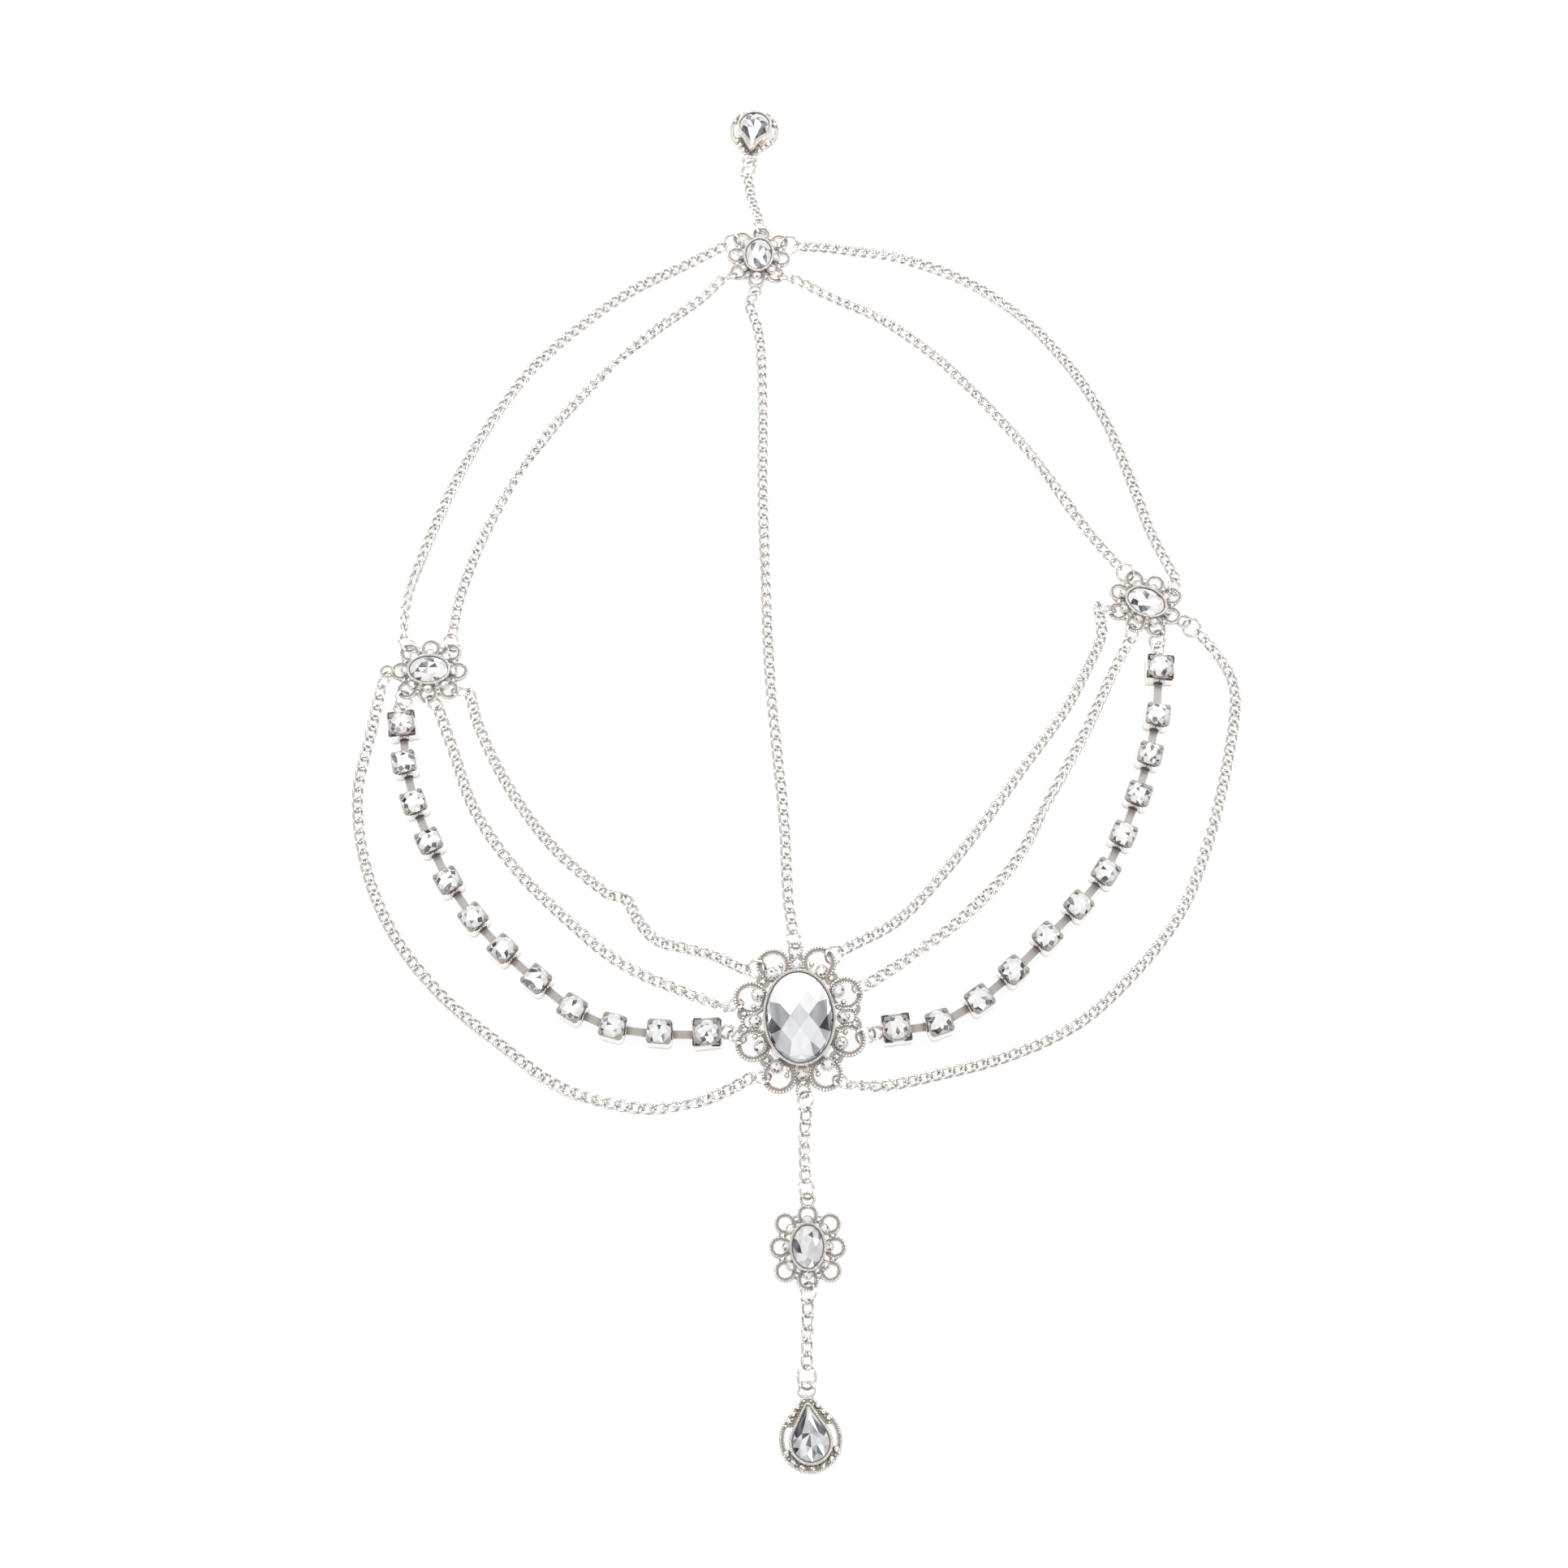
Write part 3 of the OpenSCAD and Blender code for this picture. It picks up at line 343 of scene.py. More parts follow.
BIG_OPENINGS = [
    (-6.2, 15.3, LOBE_R, LOBE_OPEN), (6.2, 15.3, LOBE_R, LOBE_OPEN),
    (12.8, 6.4, LOBE_R, LOBE_OPEN), (12.8, -6.4, LOBE_R, LOBE_OPEN),
    (6.2, -15.3, LOBE_R, LOBE_OPEN), (-6.2, -15.3, LOBE_R, LOBE_OPEN),
    (-12.8, -6.4, LOBE_R, LOBE_OPEN), (-12.8, 6.4, LOBE_R, LOBE_OPEN),
    (0, 19.6, EAR_R, EAR_OPEN), (0, -19.6, EAR_R, EAR_OPEN),
    (13.1, 0, 2.7, 1.7), (-13.1, 0, 2.7, 1.7),
]
BIG_CHATONS = [
    (0, -15.1), (0, 15.1), (-11.9, 0), (11.9, 0), (-6.8, -12.9), (-10.9, -7.2), (-6.8, 12.9),
    (-10.9, 7.2), (6.8, -12.9), (10.9, -7.2), (6.8, 12.9), (10.9, 7.2)]
SMALL_NAMES = ["top", "left", "right", "drop"]


def ahead(degrees, length):
    """A step of some length over the table."""
    return length*np.array([math.cos(math.radians(degrees)), math.sin(math.radians(degrees))])


def placed(name, x, y):
    """A point of a setting, in the frame of the whole hair chain."""
    (at_x, at_y), turn = PLACES[name]
    return spin(turn)[:2, :2] @ (x, y) + (at_x, at_y)


print("settings:", list(PLACES))

# %% [markdown]
# ## The large stone
# The large stone is cut as a checkerboard: rows of diamond facets over a low dome. On a
# paraboloid, the four corners of a diamond lie in one plane when the diamonds have the dome's own
# proportions, so the convex hull of a diamond lattice gives exactly these facets. The hull also
# finds the small facets between the lattice and the girdle, and the pavilion below it.

# %% Cut the large stone
BIG_W, BIG_L = 17.94, 24.94
BIG_GIRDLE = 4.9
LATTICE = 0.28
LATTICE_REACH = 0.87
LATTICE_EDGE = 0.7
DOME_TOP, DOME_FALL = 2.15, 1.35
STONE_DEPTH = 4
RIM_RINGS = ((0.94, 0.75, 24), (0.99, 0.2, 60), (0.99, -0.3, 60))
# Painted shade: the steep facets at the girdle are dark, for the shadow in the gap between stone and
# bezel.
GIRDLE_GAP_SHADE = 0.25


def facet_tone(normal, middle, dice):
    """The far facets flash white, the near ones catch the table and the sides fall into grey."""
    u, v = middle[0]/(BIG_W/2), middle[1]/(BIG_L/2)
    if abs(normal[2]) < 0.3:
        return GIRDLE_GAP_SHADE
    level = 0.52 - 0.2*abs(u) + (0.9*v if v > 0 else -0.25*v)
    if math.hypot(u, v) < LATTICE_EDGE:
        return min(1.0, level + dice.uniform(-0.15, 0.15))
    return min(1.0, max(0.04, level + dice.uniform(-0.45, 0.2)))


def hull(points):
    """Faces of the convex hull, with facets that lie in one plane made one face."""
    shape = bmesh.new()
    for p in points:
        shape.verts.new(p)
    bmesh.ops.convex_hull(shape, input=shape.verts)
    loose = [v for v in shape.verts if not v.link_faces]
    bmesh.ops.delete(shape, geom=loose, context="VERTS")
    bmesh.ops.dissolve_limit(
        shape, angle_limit=math.radians(0.6), verts=shape.verts, edges=shape.edges)
    shape.verts.index_update()
    corners = [tuple(v.co) for v in shape.verts]
    faces = [[v.index for v in f.verts] for f in shape.faces]
    normals = [tuple(f.normal) for f in shape.faces]
    middles = [tuple(f.calc_center_median()) for f in shape.faces]
    shape.free()
    return corners, faces, normals, middles


def dome(x, y):
    """Height of the dome, with the width and the length of the stone as 2."""
    return DOME_TOP - DOME_FALL*(x*x + y*y)


stone_points = []
for m in range(-4, 5):
    for n in range(-4, 5):
        if (m + n) % 2 and math.hypot(m, n)*LATTICE < LATTICE_REACH:
            x, y = m*LATTICE, n*LATTICE
            stone_points.append((x*BIG_W/2, y*BIG_L/2, dome(x, y)))
for share, height, count in RIM_RINGS:
    for k in range(count):
        a = 2*math.pi*(k + 0.5)/count
        stone_points.append((share*BIG_W/2*math.cos(a), share*BIG_L/2*math.sin(a), height))
stone_points.append((0, 0, -STONE_DEPTH))
points, faces, normals, middles = hull(stone_points)
dice = random.Random(5)
# Painted reflection: each facet gets a tone for how it would flash.
tones = [facet_tone(n, c, dice) for n, c in zip(normals, middles)]
points = np.array(points) @ spin(PLACES["centre"][1]).T + (0, 0, BIG_GIRDLE)
piece("large_stone", points, faces, BIG_CRYSTAL, ["centre_stone"], "crystal", tones, smooth=False)
print("large stone:", len(faces), "facets")

# %% [markdown]
# ## Brilliants
# The other stones are brilliants: a flat table, a ring of stars, kites down to the girdle, and
# small triangles between them. One function cuts them over any outline, round, oval or pear. The
# table is split into wedges of different painted tone, because through it the eye sees the
# pavilion's facets, which flash one by one. Each facet's tone is a painted reflection.

# %% Cut a brilliant
STAR_HEIGHT = 0.68
DARK_FROM, DARK_TO, LIGHT_SPREAD = 0.06, 0.4, 0.24


def brilliant(outline, table, crown, band, culet, look, dice):
    """Points, faces and tones of a brilliant.

    The cut is the table's share of the width, then the heights of the crown, half the girdle and
    the culet. The look is the share of facets painted dark in the table, their share round it, and
    the painted light tone.
    light tone.
    """
    table_darks, crown_darks, light = look
    count = len(outline)
    half = count//2
    rim = np.array(outline)
    star = rim[1::2]*(0.5 + table/2)
    top = rim[0::2]*table
    points = [(*p, crown) for p in top] + [(*p, STAR_HEIGHT*crown) for p in star]
    points += [(*p, band) for p in rim] + [(*p, -band) for p in rim]
    points += [(0, 0, culet), (0, 0, crown)]
    first_star, first_rim, first_low = half, 2*half, 2*half + count
    tip, eye = len(points) - 2, len(points) - 1
    faces, tones = [], []

    def facet(face, darks):
        faces.append(face)
        dark = dice.random() < darks
        tones.append(
            dice.uniform(DARK_FROM, DARK_TO) if dark else light - dice.uniform(0, LIGHT_SPREAD))

    for i in range(half):
        after = (i + 1) % half
        facet([i, after, eye], table_darks)
        facet([i, first_star + i, after], crown_darks)
        here, beyond = first_rim + 2*i, first_rim + (2*i + 1) % count
        onward = first_rim + (2*i + 2) % count
        before = first_star + (i - 1) % half
        facet([i, before, here, first_star + i], crown_darks)
        facet([first_star + i, here, beyond], crown_darks)
        facet([first_star + i, beyond, onward], crown_darks)
    for i in range(count):
        after = (i + 1) % count
        facet([first_rim + i, first_low + i, first_low + after, first_rim + after], crown_darks)
        facet([first_low + i, tip, first_low + after], crown_darks)
    return np.array(points), faces, tones


def oval_outline(w, l, count):
    angles = [2*math.pi*i/count for i in range(count)]
    return [(w/2*math.cos(a), l/2*math.sin(a)) for a in angles]


def pear_outline(w, l, tip, sides):
    """A pear with its point towards +Y: round end, straight shoulders, small round tip."""
    low, high = (w - l)/2, l/2 - tip
    a = math.asin((w/2 - tip)/(high - low))
    round_end = [math.pi - a + i*(math.pi + 2*a)/sides for i in range(sides + 1)]
    return ([(w/2*math.cos(t), low + w/2*math.sin(t)) for t in round_end]
            + [(tip*math.cos(t), high + tip*math.sin(t)) for t in (a, math.pi/2, math.pi - a)])


def place_stones(name, outline, cut_and_look, stones, finish, replaced, seed):
    """Many brilliants in one piece; stones are rows of x, y, z and turn."""
    dice = random.Random(seed)
    all_points, all_faces, all_tones = [], [], []
    for x, y, z, turn in stones:
        points, faces, tones = brilliant(outline, *cut_and_look, dice)
        start = sum(len(p) for p in all_points)
        all_points.append(points @ spin(turn).T + (x, y, z))
        all_faces += [[v + start for v in face] for face in faces]
        all_tones += tones
    piece(name, np.concatenate(all_points), all_faces, finish, replaced, "crystal", all_tones,
          smooth=False)
    print(name, len(stones), "stones,", len(all_faces), "facets")


# %% [markdown]
# The four small settings hold an oval stone each, 8 by 11 mm, and the drops a pear stone. Their
# girdles lie just under the edges of their bezels, as the CAD stones' do.

# %% Oval and pear stones
OVAL_CUT, OVAL_GIRDLE = (0.52, 1.3, 0.12, -3.2), 4.1
PEAR_CUT, PEAR_GIRDLE = (0.5, 1.6, 0.12, -3.4), 4.3
OVAL_LOOKS = [(0.2, 0.22, 0.98), (0.2, 0.22, 0.95), (0.2, 0.22, 0.95), (0.2, 0.25, 0.78)]
PEAR_LOOKS = [(0.15, 0.25, 1.0), (0.2, 0.2, 0.74)]
for index, (name, look) in enumerate(zip(SMALL_NAMES, OVAL_LOOKS)):
    (x, y), turn = PLACES[name]
    place_stones(name + "_oval_stone", oval_outline(7.85, 10.85, 16), (*OVAL_CUT, look),
                 [(x, y, OVAL_GIRDLE, turn)], SMALL_CRYSTAL, [name + "_stone"], 20 + index)
for index, (name, look) in enumerate(zip(("top_pear", "bottom_pear"), PEAR_LOOKS)):
    (x, y), turn = PLACES[name]
    place_stones(name + "_cut_stone", pear_outline(9.25, 13.35, 0.6, 12), (*PEAR_CUT, look),
                 [(x, y, PEAR_GIRDLE, turn)], SMALL_CRYSTAL, [name + "_stone"], 30 + index)

# %% [markdown]
# Round stones sit in small cups round each bezel: twelve round the large stone, eight round each
# small one. They are all cut alike and differ only in how they flash.

# %% Round stones of the settings
ROUND_LOOK = (0.04, 0.2, 1.0)
BIG_ROUND, BIG_ROUND_CUT = 3, (0.56, 0.65, 0.06, -0.9)
SMALL_ROUND, SMALL_ROUND_CUT = 2.2, (0.56, 0.5, 0.05, -0.6)


def chaton_rows(name, chatons):
    return [(*placed(name, x, y), CHATON_TOP, 17*k) for k, (x, y) in enumerate(chatons)]


place_stones("centre_round_stones", oval_outline(BIG_ROUND, BIG_ROUND, 16),
             (*BIG_ROUND_CUT, ROUND_LOOK), chaton_rows("centre", BIG_CHATONS), SMALL_CRYSTAL,
             ["centre_chatons"], 40)
for index, name in enumerate(SMALL_NAMES):
    place_stones(name + "_round_stones", oval_outline(SMALL_ROUND, SMALL_ROUND, 16),
                 (*SMALL_ROUND_CUT, ROUND_LOOK), chaton_rows(name, SMALL_CHATONS), SMALL_CRYSTAL,
                 [name + "_chatons"], 41 + index)

# %% [markdown]
# ## Beading
# Two rows of tiny beads run along the band of every lobe and petal, and one row round each bezel
# and round the cup of each small stone. On a real casting they are rolled into the wax with a
# beading wheel. Here one small ball is copied along circles. A bead is left out where another
# opening, a stone or a bezel takes its place.

# %% Beads on castings
def ball(detail):
    """Points and faces of a small round ball of radius 1."""
    shape = bmesh.new()
    bmesh.ops.create_icosphere(shape, subdivisions=detail, radius=1)
    shape.verts.index_update()
    found = np.array([v.co for v in shape.verts]), [[v.index for v in f.verts] for f in shape.faces]
    shape.free()
    return found


BALL_POINTS, BALL_FACES = ball(2)
WIDE_BAND = 1
TONGUE_TIPS = ((4.19, 15.2), (12.18, 4.2))
TIP_R, STEM_R, STEM_STEPS = 0.62, 0.36, (0.95, 1.6, 2.2)
CENTRE_BEADING = {
    "cup_r": 1.77, "bezel_w": 19.64, "bezel_l": 26.64, "bezel_top": 5.2, "bead_r": 0.38}
SMALL_BEADING = {
    "cup_r": 1.37, "bezel_w": 9.64, "bezel_l": 12.64, "bezel_top": 4.4, "bead_r": 0.3}


def circle_of(x, y, radius, spacing):
    count = max(6, round(2*math.pi*radius/spacing))
    return [(x + radius*math.cos(2*math.pi*k/count), y + radius*math.sin(2*math.pi*k/count))
            for k in range(count)]


def clear_of(point, discs):
    return all(math.dist(point, disc[:2]) > disc[2] for disc in discs)


def even_row(outline, spacing):
    """Points evenly spaced along a closed outline."""
    loop = np.array(outline + outline[:1])
    s = np.concatenate([[0], np.cumsum(np.linalg.norm(np.diff(loop, axis=0), axis=1))])
    return [(float(np.interp(d, s, loop[:, 0])), float(np.interp(d, s, loop[:, 1])))
            for d in np.linspace(0, s[-1], round(s[-1]/spacing), endpoint=False)]


def casting_beads(openings, chatons, cup_r, bezel_w, bezel_l, bezel_top, bead_r):
    """Beads of one setting in its own frame: x, y, z and radius."""
    cups = [(x, y, cup_r + 0.1) for x, y in chatons]
    beads = []
    for index, (x, y, outer, opening) in enumerate(openings):
        others = [(a, b, hole + 0.5*bead_r)
                  for k, (a, b, _, hole) in enumerate(openings) if k != index]
        rows = [(outer - bead_r, bead_r)]
        if outer - opening > WIDE_BAND:
            rows.append((opening + 0.1*bead_r, 0.75*bead_r))
        for radius, row_r in rows:
            for p in circle_of(x, y, radius, 2.2*row_r):
                inside_bezel = (p[0]/(bezel_w/2 + 0.1))**2 + (p[1]/(bezel_l/2 + 0.1))**2 < 1
                if not inside_bezel and clear_of(p, others + cups):
                    beads.append((*p, WEB_TOP + 0.05, row_r))
    for p in even_row(oval_outline(bezel_w - 0.5, bezel_l - 0.5, 180), 1.6*bead_r):
        beads.append((*p, bezel_top - 0.02, 0.7*bead_r))
    for x, y in chatons:
        for p in circle_of(x, y, cup_r - 0.05, 2.1*bead_r):
            beads.append((*p, CHATON_TOP, 0.65*bead_r))
    return beads


def bead_piece(name, place, beads):
    points = [(np.eye(3)*r, (*placed(place, x, y), z)) for x, y, z, r in beads]
    piece(name, *joined(BALL_POINTS, BALL_FACES, points), CAST, slot="cast_metal")
    print(name, len(beads), "beads")


def tongue_beads():
    """The scroll tongues inside the lobes: one ball on each tip and smaller ones down the stem."""
    beads = []
    for x, y in TONGUE_TIPS:
        for side in (-1, 1):
            for end in (-1, 1):
                tip = np.array([side*x, end*y])
                inwards = -tip/np.linalg.norm(tip)
                beads.append((*tip, WEB_TOP + 0.1, TIP_R))
                beads += [(*(tip + inwards*step), WEB_TOP, STEM_R) for step in STEM_STEPS]
    return beads


bead_piece("centre_beading", "centre", tongue_beads() + casting_beads(
    BIG_OPENINGS, BIG_CHATONS, **CENTRE_BEADING))
for name in SMALL_NAMES:
    bead_piece(name + "_beading", name, casting_beads(
        SMALL_OPENINGS, SMALL_CHATONS, **SMALL_BEADING))

# %% [markdown]
# The pear frames have a beaded outline as well, a beaded bezel, and fine grain between the large
# grains of the casting, so that hardly any flat metal is left below the stone.

# %% Beads on the pear frames
PEAR_FRAME, PEAR_BEZEL, PEAR_BEZEL_TOP = (15.8, 18.6, 1.6), (11.04, 15.14, 1.1), 4.6
OPEN_FROM, OPEN_TO = -5, 2.4
GRAIN_STEP_X, GRAIN_STEP_Y, GRAIN_JITTER = 0.9, 0.78, 0.12


def inset(outline, by):
    """Width, length and tip of a pear outline moved inwards."""
    w, l, tip = outline
    return w - 2*by, l - 2*by, tip - by


def within(point, outline):
    """Whether a point lies inside a convex outline that runs clockwise."""
    ends = zip(outline, outline[1:] + outline[:1])
    return all((b[0] - a[0])*(point[1] - a[1]) > (b[1] - a[1])*(point[0] - a[0]) for a, b in ends)


def pear_line(outline, by):
    return pear_outline(*inset(outline, by), 60)


def clear_of_openings(y):
    """Whether the frame is solid here, above or below its two side openings."""
    return y > OPEN_TO or y < OPEN_FROM


def pear_beads(dice):
    """Even rows along the edges, and loose grains over the rest of the metal."""
    beads = [(*p, WEB_TOP + 0.08, 0.28) for p in even_row(pear_line(PEAR_FRAME, 0.3), 0.58)]
    beads += [(*p, PEAR_BEZEL_TOP, 0.27) for p in even_row(pear_line(PEAR_BEZEL, 0.35), 0.56)]
    beads += [(x, y, WEB_TOP + 0.05, 0.24)
              for x, y in even_row(pear_line(PEAR_FRAME, 1.15), 0.5) if -4.4 < y < 2]
    beads += [(x, y, WEB_TOP - 0.25, dice.uniform(0.42, 0.62))
              for x, y in even_row(pear_line(PEAR_FRAME, 0.15), 1.25) if clear_of_openings(y)]
    edge = pear_line(PEAR_FRAME, 0.75)
    wall = pear_line(PEAR_BEZEL, -0.3)
    for i in range(-9, 10):
        for j in range(-11, 12):
            x = (i + 0.5*(j % 2))*GRAIN_STEP_X + dice.uniform(-GRAIN_JITTER, GRAIN_JITTER)
            y = j*GRAIN_STEP_Y + dice.uniform(-GRAIN_JITTER, GRAIN_JITTER)
            on_band = within((x, y), edge) and not within((x, y), wall)
            if clear_of_openings(y) and on_band:
                beads.append((x, y, WEB_TOP + 0.15, dice.uniform(0.3, 0.45)))
    return beads


for name in ("top_pear", "bottom_pear"):
    bead_piece(name + "_beading", name, pear_beads(random.Random(60)))

# %% [markdown]
# The bails of the pears, and the eyes of the end boxes further below, are bent from wire. In the
# CAD model they are flat rings, so a low round band is laid on top of each.

# %% Rounded bails
def ring_band(radius, half_width, half_height, rounds=40, sides=12):
    """A ring about the upright axis with an oval section."""
    points = [((radius + half_width*math.cos(t))*math.cos(a),
               (radius + half_width*math.cos(t))*math.sin(a), half_height*math.sin(t))
              for a in 2*math.pi*np.arange(rounds)/rounds for t in 2*math.pi*np.arange(sides)/sides]
    faces = [[k*sides + i, (k + 1) % rounds*sides + i,
              (k + 1) % rounds*sides + (i + 1) % sides, k*sides + (i + 1) % sides]
             for k in range(rounds) for i in range(sides)]
    return np.array(points), faces


BAIL_AT = 10.6
bails = [(np.eye(3), (*placed(name, 0, BAIL_AT), WEB_TOP)) for name in ("top_pear", "bottom_pear")]
piece("pear_bails", *joined(*ring_band(2, 0.4, 0.25), bails), RING, slot="cast_metal")
print("pear bails:", len(bails))

# %% [markdown]
# ## Curb chain
# Curb chain is made of oval wire loops, each twisted so that it lies flat against the next. A
# twisted loop is a line round an oval whose ends are turned out of the middle plane in opposite
# ways, with a round wire swept along it. The chain is hundreds of copies, one every 3.2 mm.
#
# The route of each chain is the CAD model's: from the jump ring at one setting, over a few points
# on the table, to the jump ring at the next. Where a jump ring leans the other way, the last
# links roll over on to their sides, as they do in a chain that is lying about.

# %% One link
LINK_L, LINK_W, LINK_WIRE, LINK_TWIST = 5.25, 3.4, 0.8, 38


def link_template(twist, rounds=32, sides=10):
    reach, b = (LINK_L - LINK_W)/2, (LINK_W - LINK_WIRE)/2
    around = 2*math.pi*b + 4*reach
    middle_line = []
    for k in range(rounds):
        s = around*k/rounds
        if s < math.pi*b:
            a = s/b - math.pi/2
            x, y = reach + b*math.cos(a), b*math.sin(a)
        elif s < math.pi*b + 2*reach:
            x, y = reach - (s - math.pi*b), b
        elif s < 2*math.pi*b + 2*reach:
            a = (s - math.pi*b - 2*reach)/b + math.pi/2
            x, y = -reach + b*math.cos(a), b*math.sin(a)
        else:
            x, y = -reach + (s - 2*math.pi*b - 2*reach), -b
        lean = max(-1, min(1, x/(reach + 0.45*b)))
        middle_line.append(roll(twist*lean) @ (x, y, 0))
    line = np.array(middle_line)
    along = np.roll(line, -1, 0) - np.roll(line, 1, 0)
    along /= np.linalg.norm(along, axis=1)[:, None]
    out = line - (line*along).sum(1)[:, None]*along
    out /= np.linalg.norm(out, axis=1)[:, None]
    up = np.cross(along, out)
    points = [line[k] + LINK_WIRE/2*(math.cos(t)*out[k] + math.sin(t)*up[k])
              for k in range(rounds) for t in 2*math.pi*np.arange(sides)/sides]
    faces = [[k*sides + i, k*sides + (i + 1) % sides,
              (k + 1) % rounds*sides + (i + 1) % sides, (k + 1) % rounds*sides + i]
             for k in range(rounds) for i in range(sides)]
    return np.array(points), faces


print("a link has", len(link_template(LINK_TWIST)[1]), "faces")

# %% [markdown]
# A jump ring hangs in an opening and is pulled in a direction, so its middle follows from the
# opening, the direction and the radius of the ring. The first link of a chain hangs on the far
# end of the ring.

# %% Jump rings as holds
RING_R, PEAR_RING_R, RING_WIRE = 2.6, 2.9, 0.8


def ring_hold(name, opening, pull, lean):
    """Middle, direction of pull, radius and lean of a jump ring of a setting."""
    rows = BIG_OPENINGS if name == "centre" else SMALL_OPENINGS
    x, y, _, radius = rows[opening]
    hook = 1 if radius > 1.65 else radius - 0.25
    return placed(name, x, y) + ahead(pull, radius - hook + RING_R), pull, RING_R, lean


def pear_hold(name, pull):
    return placed(name, 0, BAIL_AT) + ahead(pull, 0.25 + PEAR_RING_R), pull, PEAR_RING_R, 1


CENTRE_RINGS = [
    ring_hold("centre", *row) for row in (
        (8, 97, 1), (0, 190, -1), (1, 30, 1), (7, 200, 1), (6, 152, 1),
        (5, 182, 1), (2, 25, -1), (3, 15, 1), (4, -25, -1), (9, 278, 1))]
TOP_RINGS = [
    ring_hold("top", *row) for row in (
        (8, 250, 1), (4, 95, 1), (3, 200, -1), (5, -12, 1), (1, 207, 1), (7, -15, -1))]
LEFT_RINGS = [
    ring_hold("left", *row) for row in (
        (1, 112, 1), (3, 92, 1), (8, 255, 1), (7, 255, -1), (6, 305, -1), (5, -8, -1))]
RIGHT_RINGS = [
    ring_hold("right", *row) for row in (
        (5, 135, -1), (7, 75, 1), (3, 162, 1), (2, 248, -1), (1, 272, 1), (8, -42, 1))]
DROP_RINGS = [ring_hold("drop", *row) for row in ((8, 95, 1), (4, 270, 1))]
print("jump rings that hold chains:", sum(map(len, (
    CENTRE_RINGS, TOP_RINGS, LEFT_RINGS, RIGHT_RINGS, DROP_RINGS))))

# %% [markdown]
# Each route is smoothed by a curve through its points, and the links are spread evenly along it.
# A real chain never lies quite flat: it rocks a little from side to side all along, and in some
# places a few links stand on edge. Both are turns of single links about the chain's own line. One
# link can turn only a little against the next before their wires meet, so that step is kept small.

# %% Routes and spacing
ROCKING = 9
MOST_TURN = 15
ROLL_OVER, ROLL_LINKS = 83, 7
LIFT = 0.7
REST_Z = (LINK_W - LINK_WIRE)/2*math.sin(math.radians(LINK_TWIST)) + LINK_WIRE/2


def link_at(hold, towards):
    """Middle of the link that hangs on the outer end of a ring."""
    middle, pull, radius, _ = hold
    tip = middle + ahead(pull, radius)
    way = np.array(towards) - tip
    step = (LINK_L - LINK_WIRE)/2 - (RING_WIRE + LINK_WIRE)/2 - 0.3
    return (*(tip + way/np.linalg.norm(way)*step), WEB_MIDDLE)


def smooth_line(route, steps=8):
    """The CAD model's curve through the points, as closely spaced points."""
    route = np.array(route)
    ends = np.array([route[min(i + 1, len(route) - 1)] - route[max(i - 1, 0)]
                     for i in range(len(route))])
    ends /= np.linalg.norm(ends, axis=1)[:, None]
    line = []
    for i in range(len(route) - 1):
        length = np.linalg.norm(route[i + 1] - route[i])
        for t in np.arange(steps)/steps:
            line.append((2*t**3 - 3*t*t + 1)*route[i] + (3*t*t - 2*t**3)*route[i + 1]
                        + length*(t**3 - 2*t*t + t)*ends[i] + length*(t**3 - t*t)*ends[i + 1])
    return np.array(line + [route[-1]])


def gentle(turns):
    """Turns near those wanted, none more than MOST_TURN from its neighbour's."""
    last = turns[-1]
    for k in range(1, len(turns)):
        turns[k] = min(max(turns[k], turns[k - 1] - MOST_TURN), turns[k - 1] + MOST_TURN)
    turns[-1] = last
    for k in range(len(turns) - 2, -1, -1):
        turns[k] = min(max(turns[k], turns[k + 1] - MOST_TURN), turns[k + 1] + MOST_TURN)
    return turns


def even_frames(line, pitch, end_roll, stands, dice):
    """Turn and place of each link.

    Stands are rows of share of the way, degrees and reach in links.
    """
    s = np.concatenate([[0], np.cumsum(np.linalg.norm(np.diff(line, axis=0), axis=1))])
    count = math.ceil(s[-1]/pitch - 0.3)
    turns, frames, start = [], [], dice.uniform(0, 6)

    def at(d):
        return np.array([np.interp(d, s, line[:, j]) for j in range(3)])

    for k in range(count + 1):
        loose = min(1, k/3, (count - k)/3)
        rock = ROCKING*(math.sin(0.4*k + start) + 0.6*math.sin(0.9*k + 2*start))
        rock += sum(turn*max(0, 1 - abs(k - share*count)/reach) for share, turn, reach in stands)
        turns.append(loose*rock + end_roll*max(0, 1 - (count - k)/ROLL_LINKS))
    for k, extra in enumerate(gentle(turns)):
        d = s[-1]*k/count
        way = at(min(d + 0.6, s[-1])) - at(max(d - 0.6, 0))
        slope = math.degrees(math.atan2(way[2], math.hypot(way[0], way[1])))
        course = math.degrees(math.atan2(way[1], way[0]))
        middle = at(d) + (0, 0, LIFT*abs(math.sin(math.radians(extra))))
        frames.append((spin(course) @ climb(slope) @ roll(extra), middle))
    return frames


def chain(name, start, route, end, pitch=3.25, lift=0.0, stands=()):
    path = [link_at(start, route[0])] + [(x, y, REST_Z + lift) for x, y in route]
    path.append(link_at(end, route[-1]))
    way = start[3]
    end_roll = 0 if end[3] == way else -ROLL_OVER*way
    frames = even_frames(smooth_line(path), pitch, end_roll, stands, random.Random(len(route)))
    piece(name + "_links", *joined(*link_template(LINK_TWIST*way), frames), CHAIN,
          [name], "chain_wire")
    print(name, len(frames), "links")


# %% [markdown]
# The centre strand runs from the top setting down to the large one. The pendant's short chains
# hang below it, and the top pear hangs above the top setting.

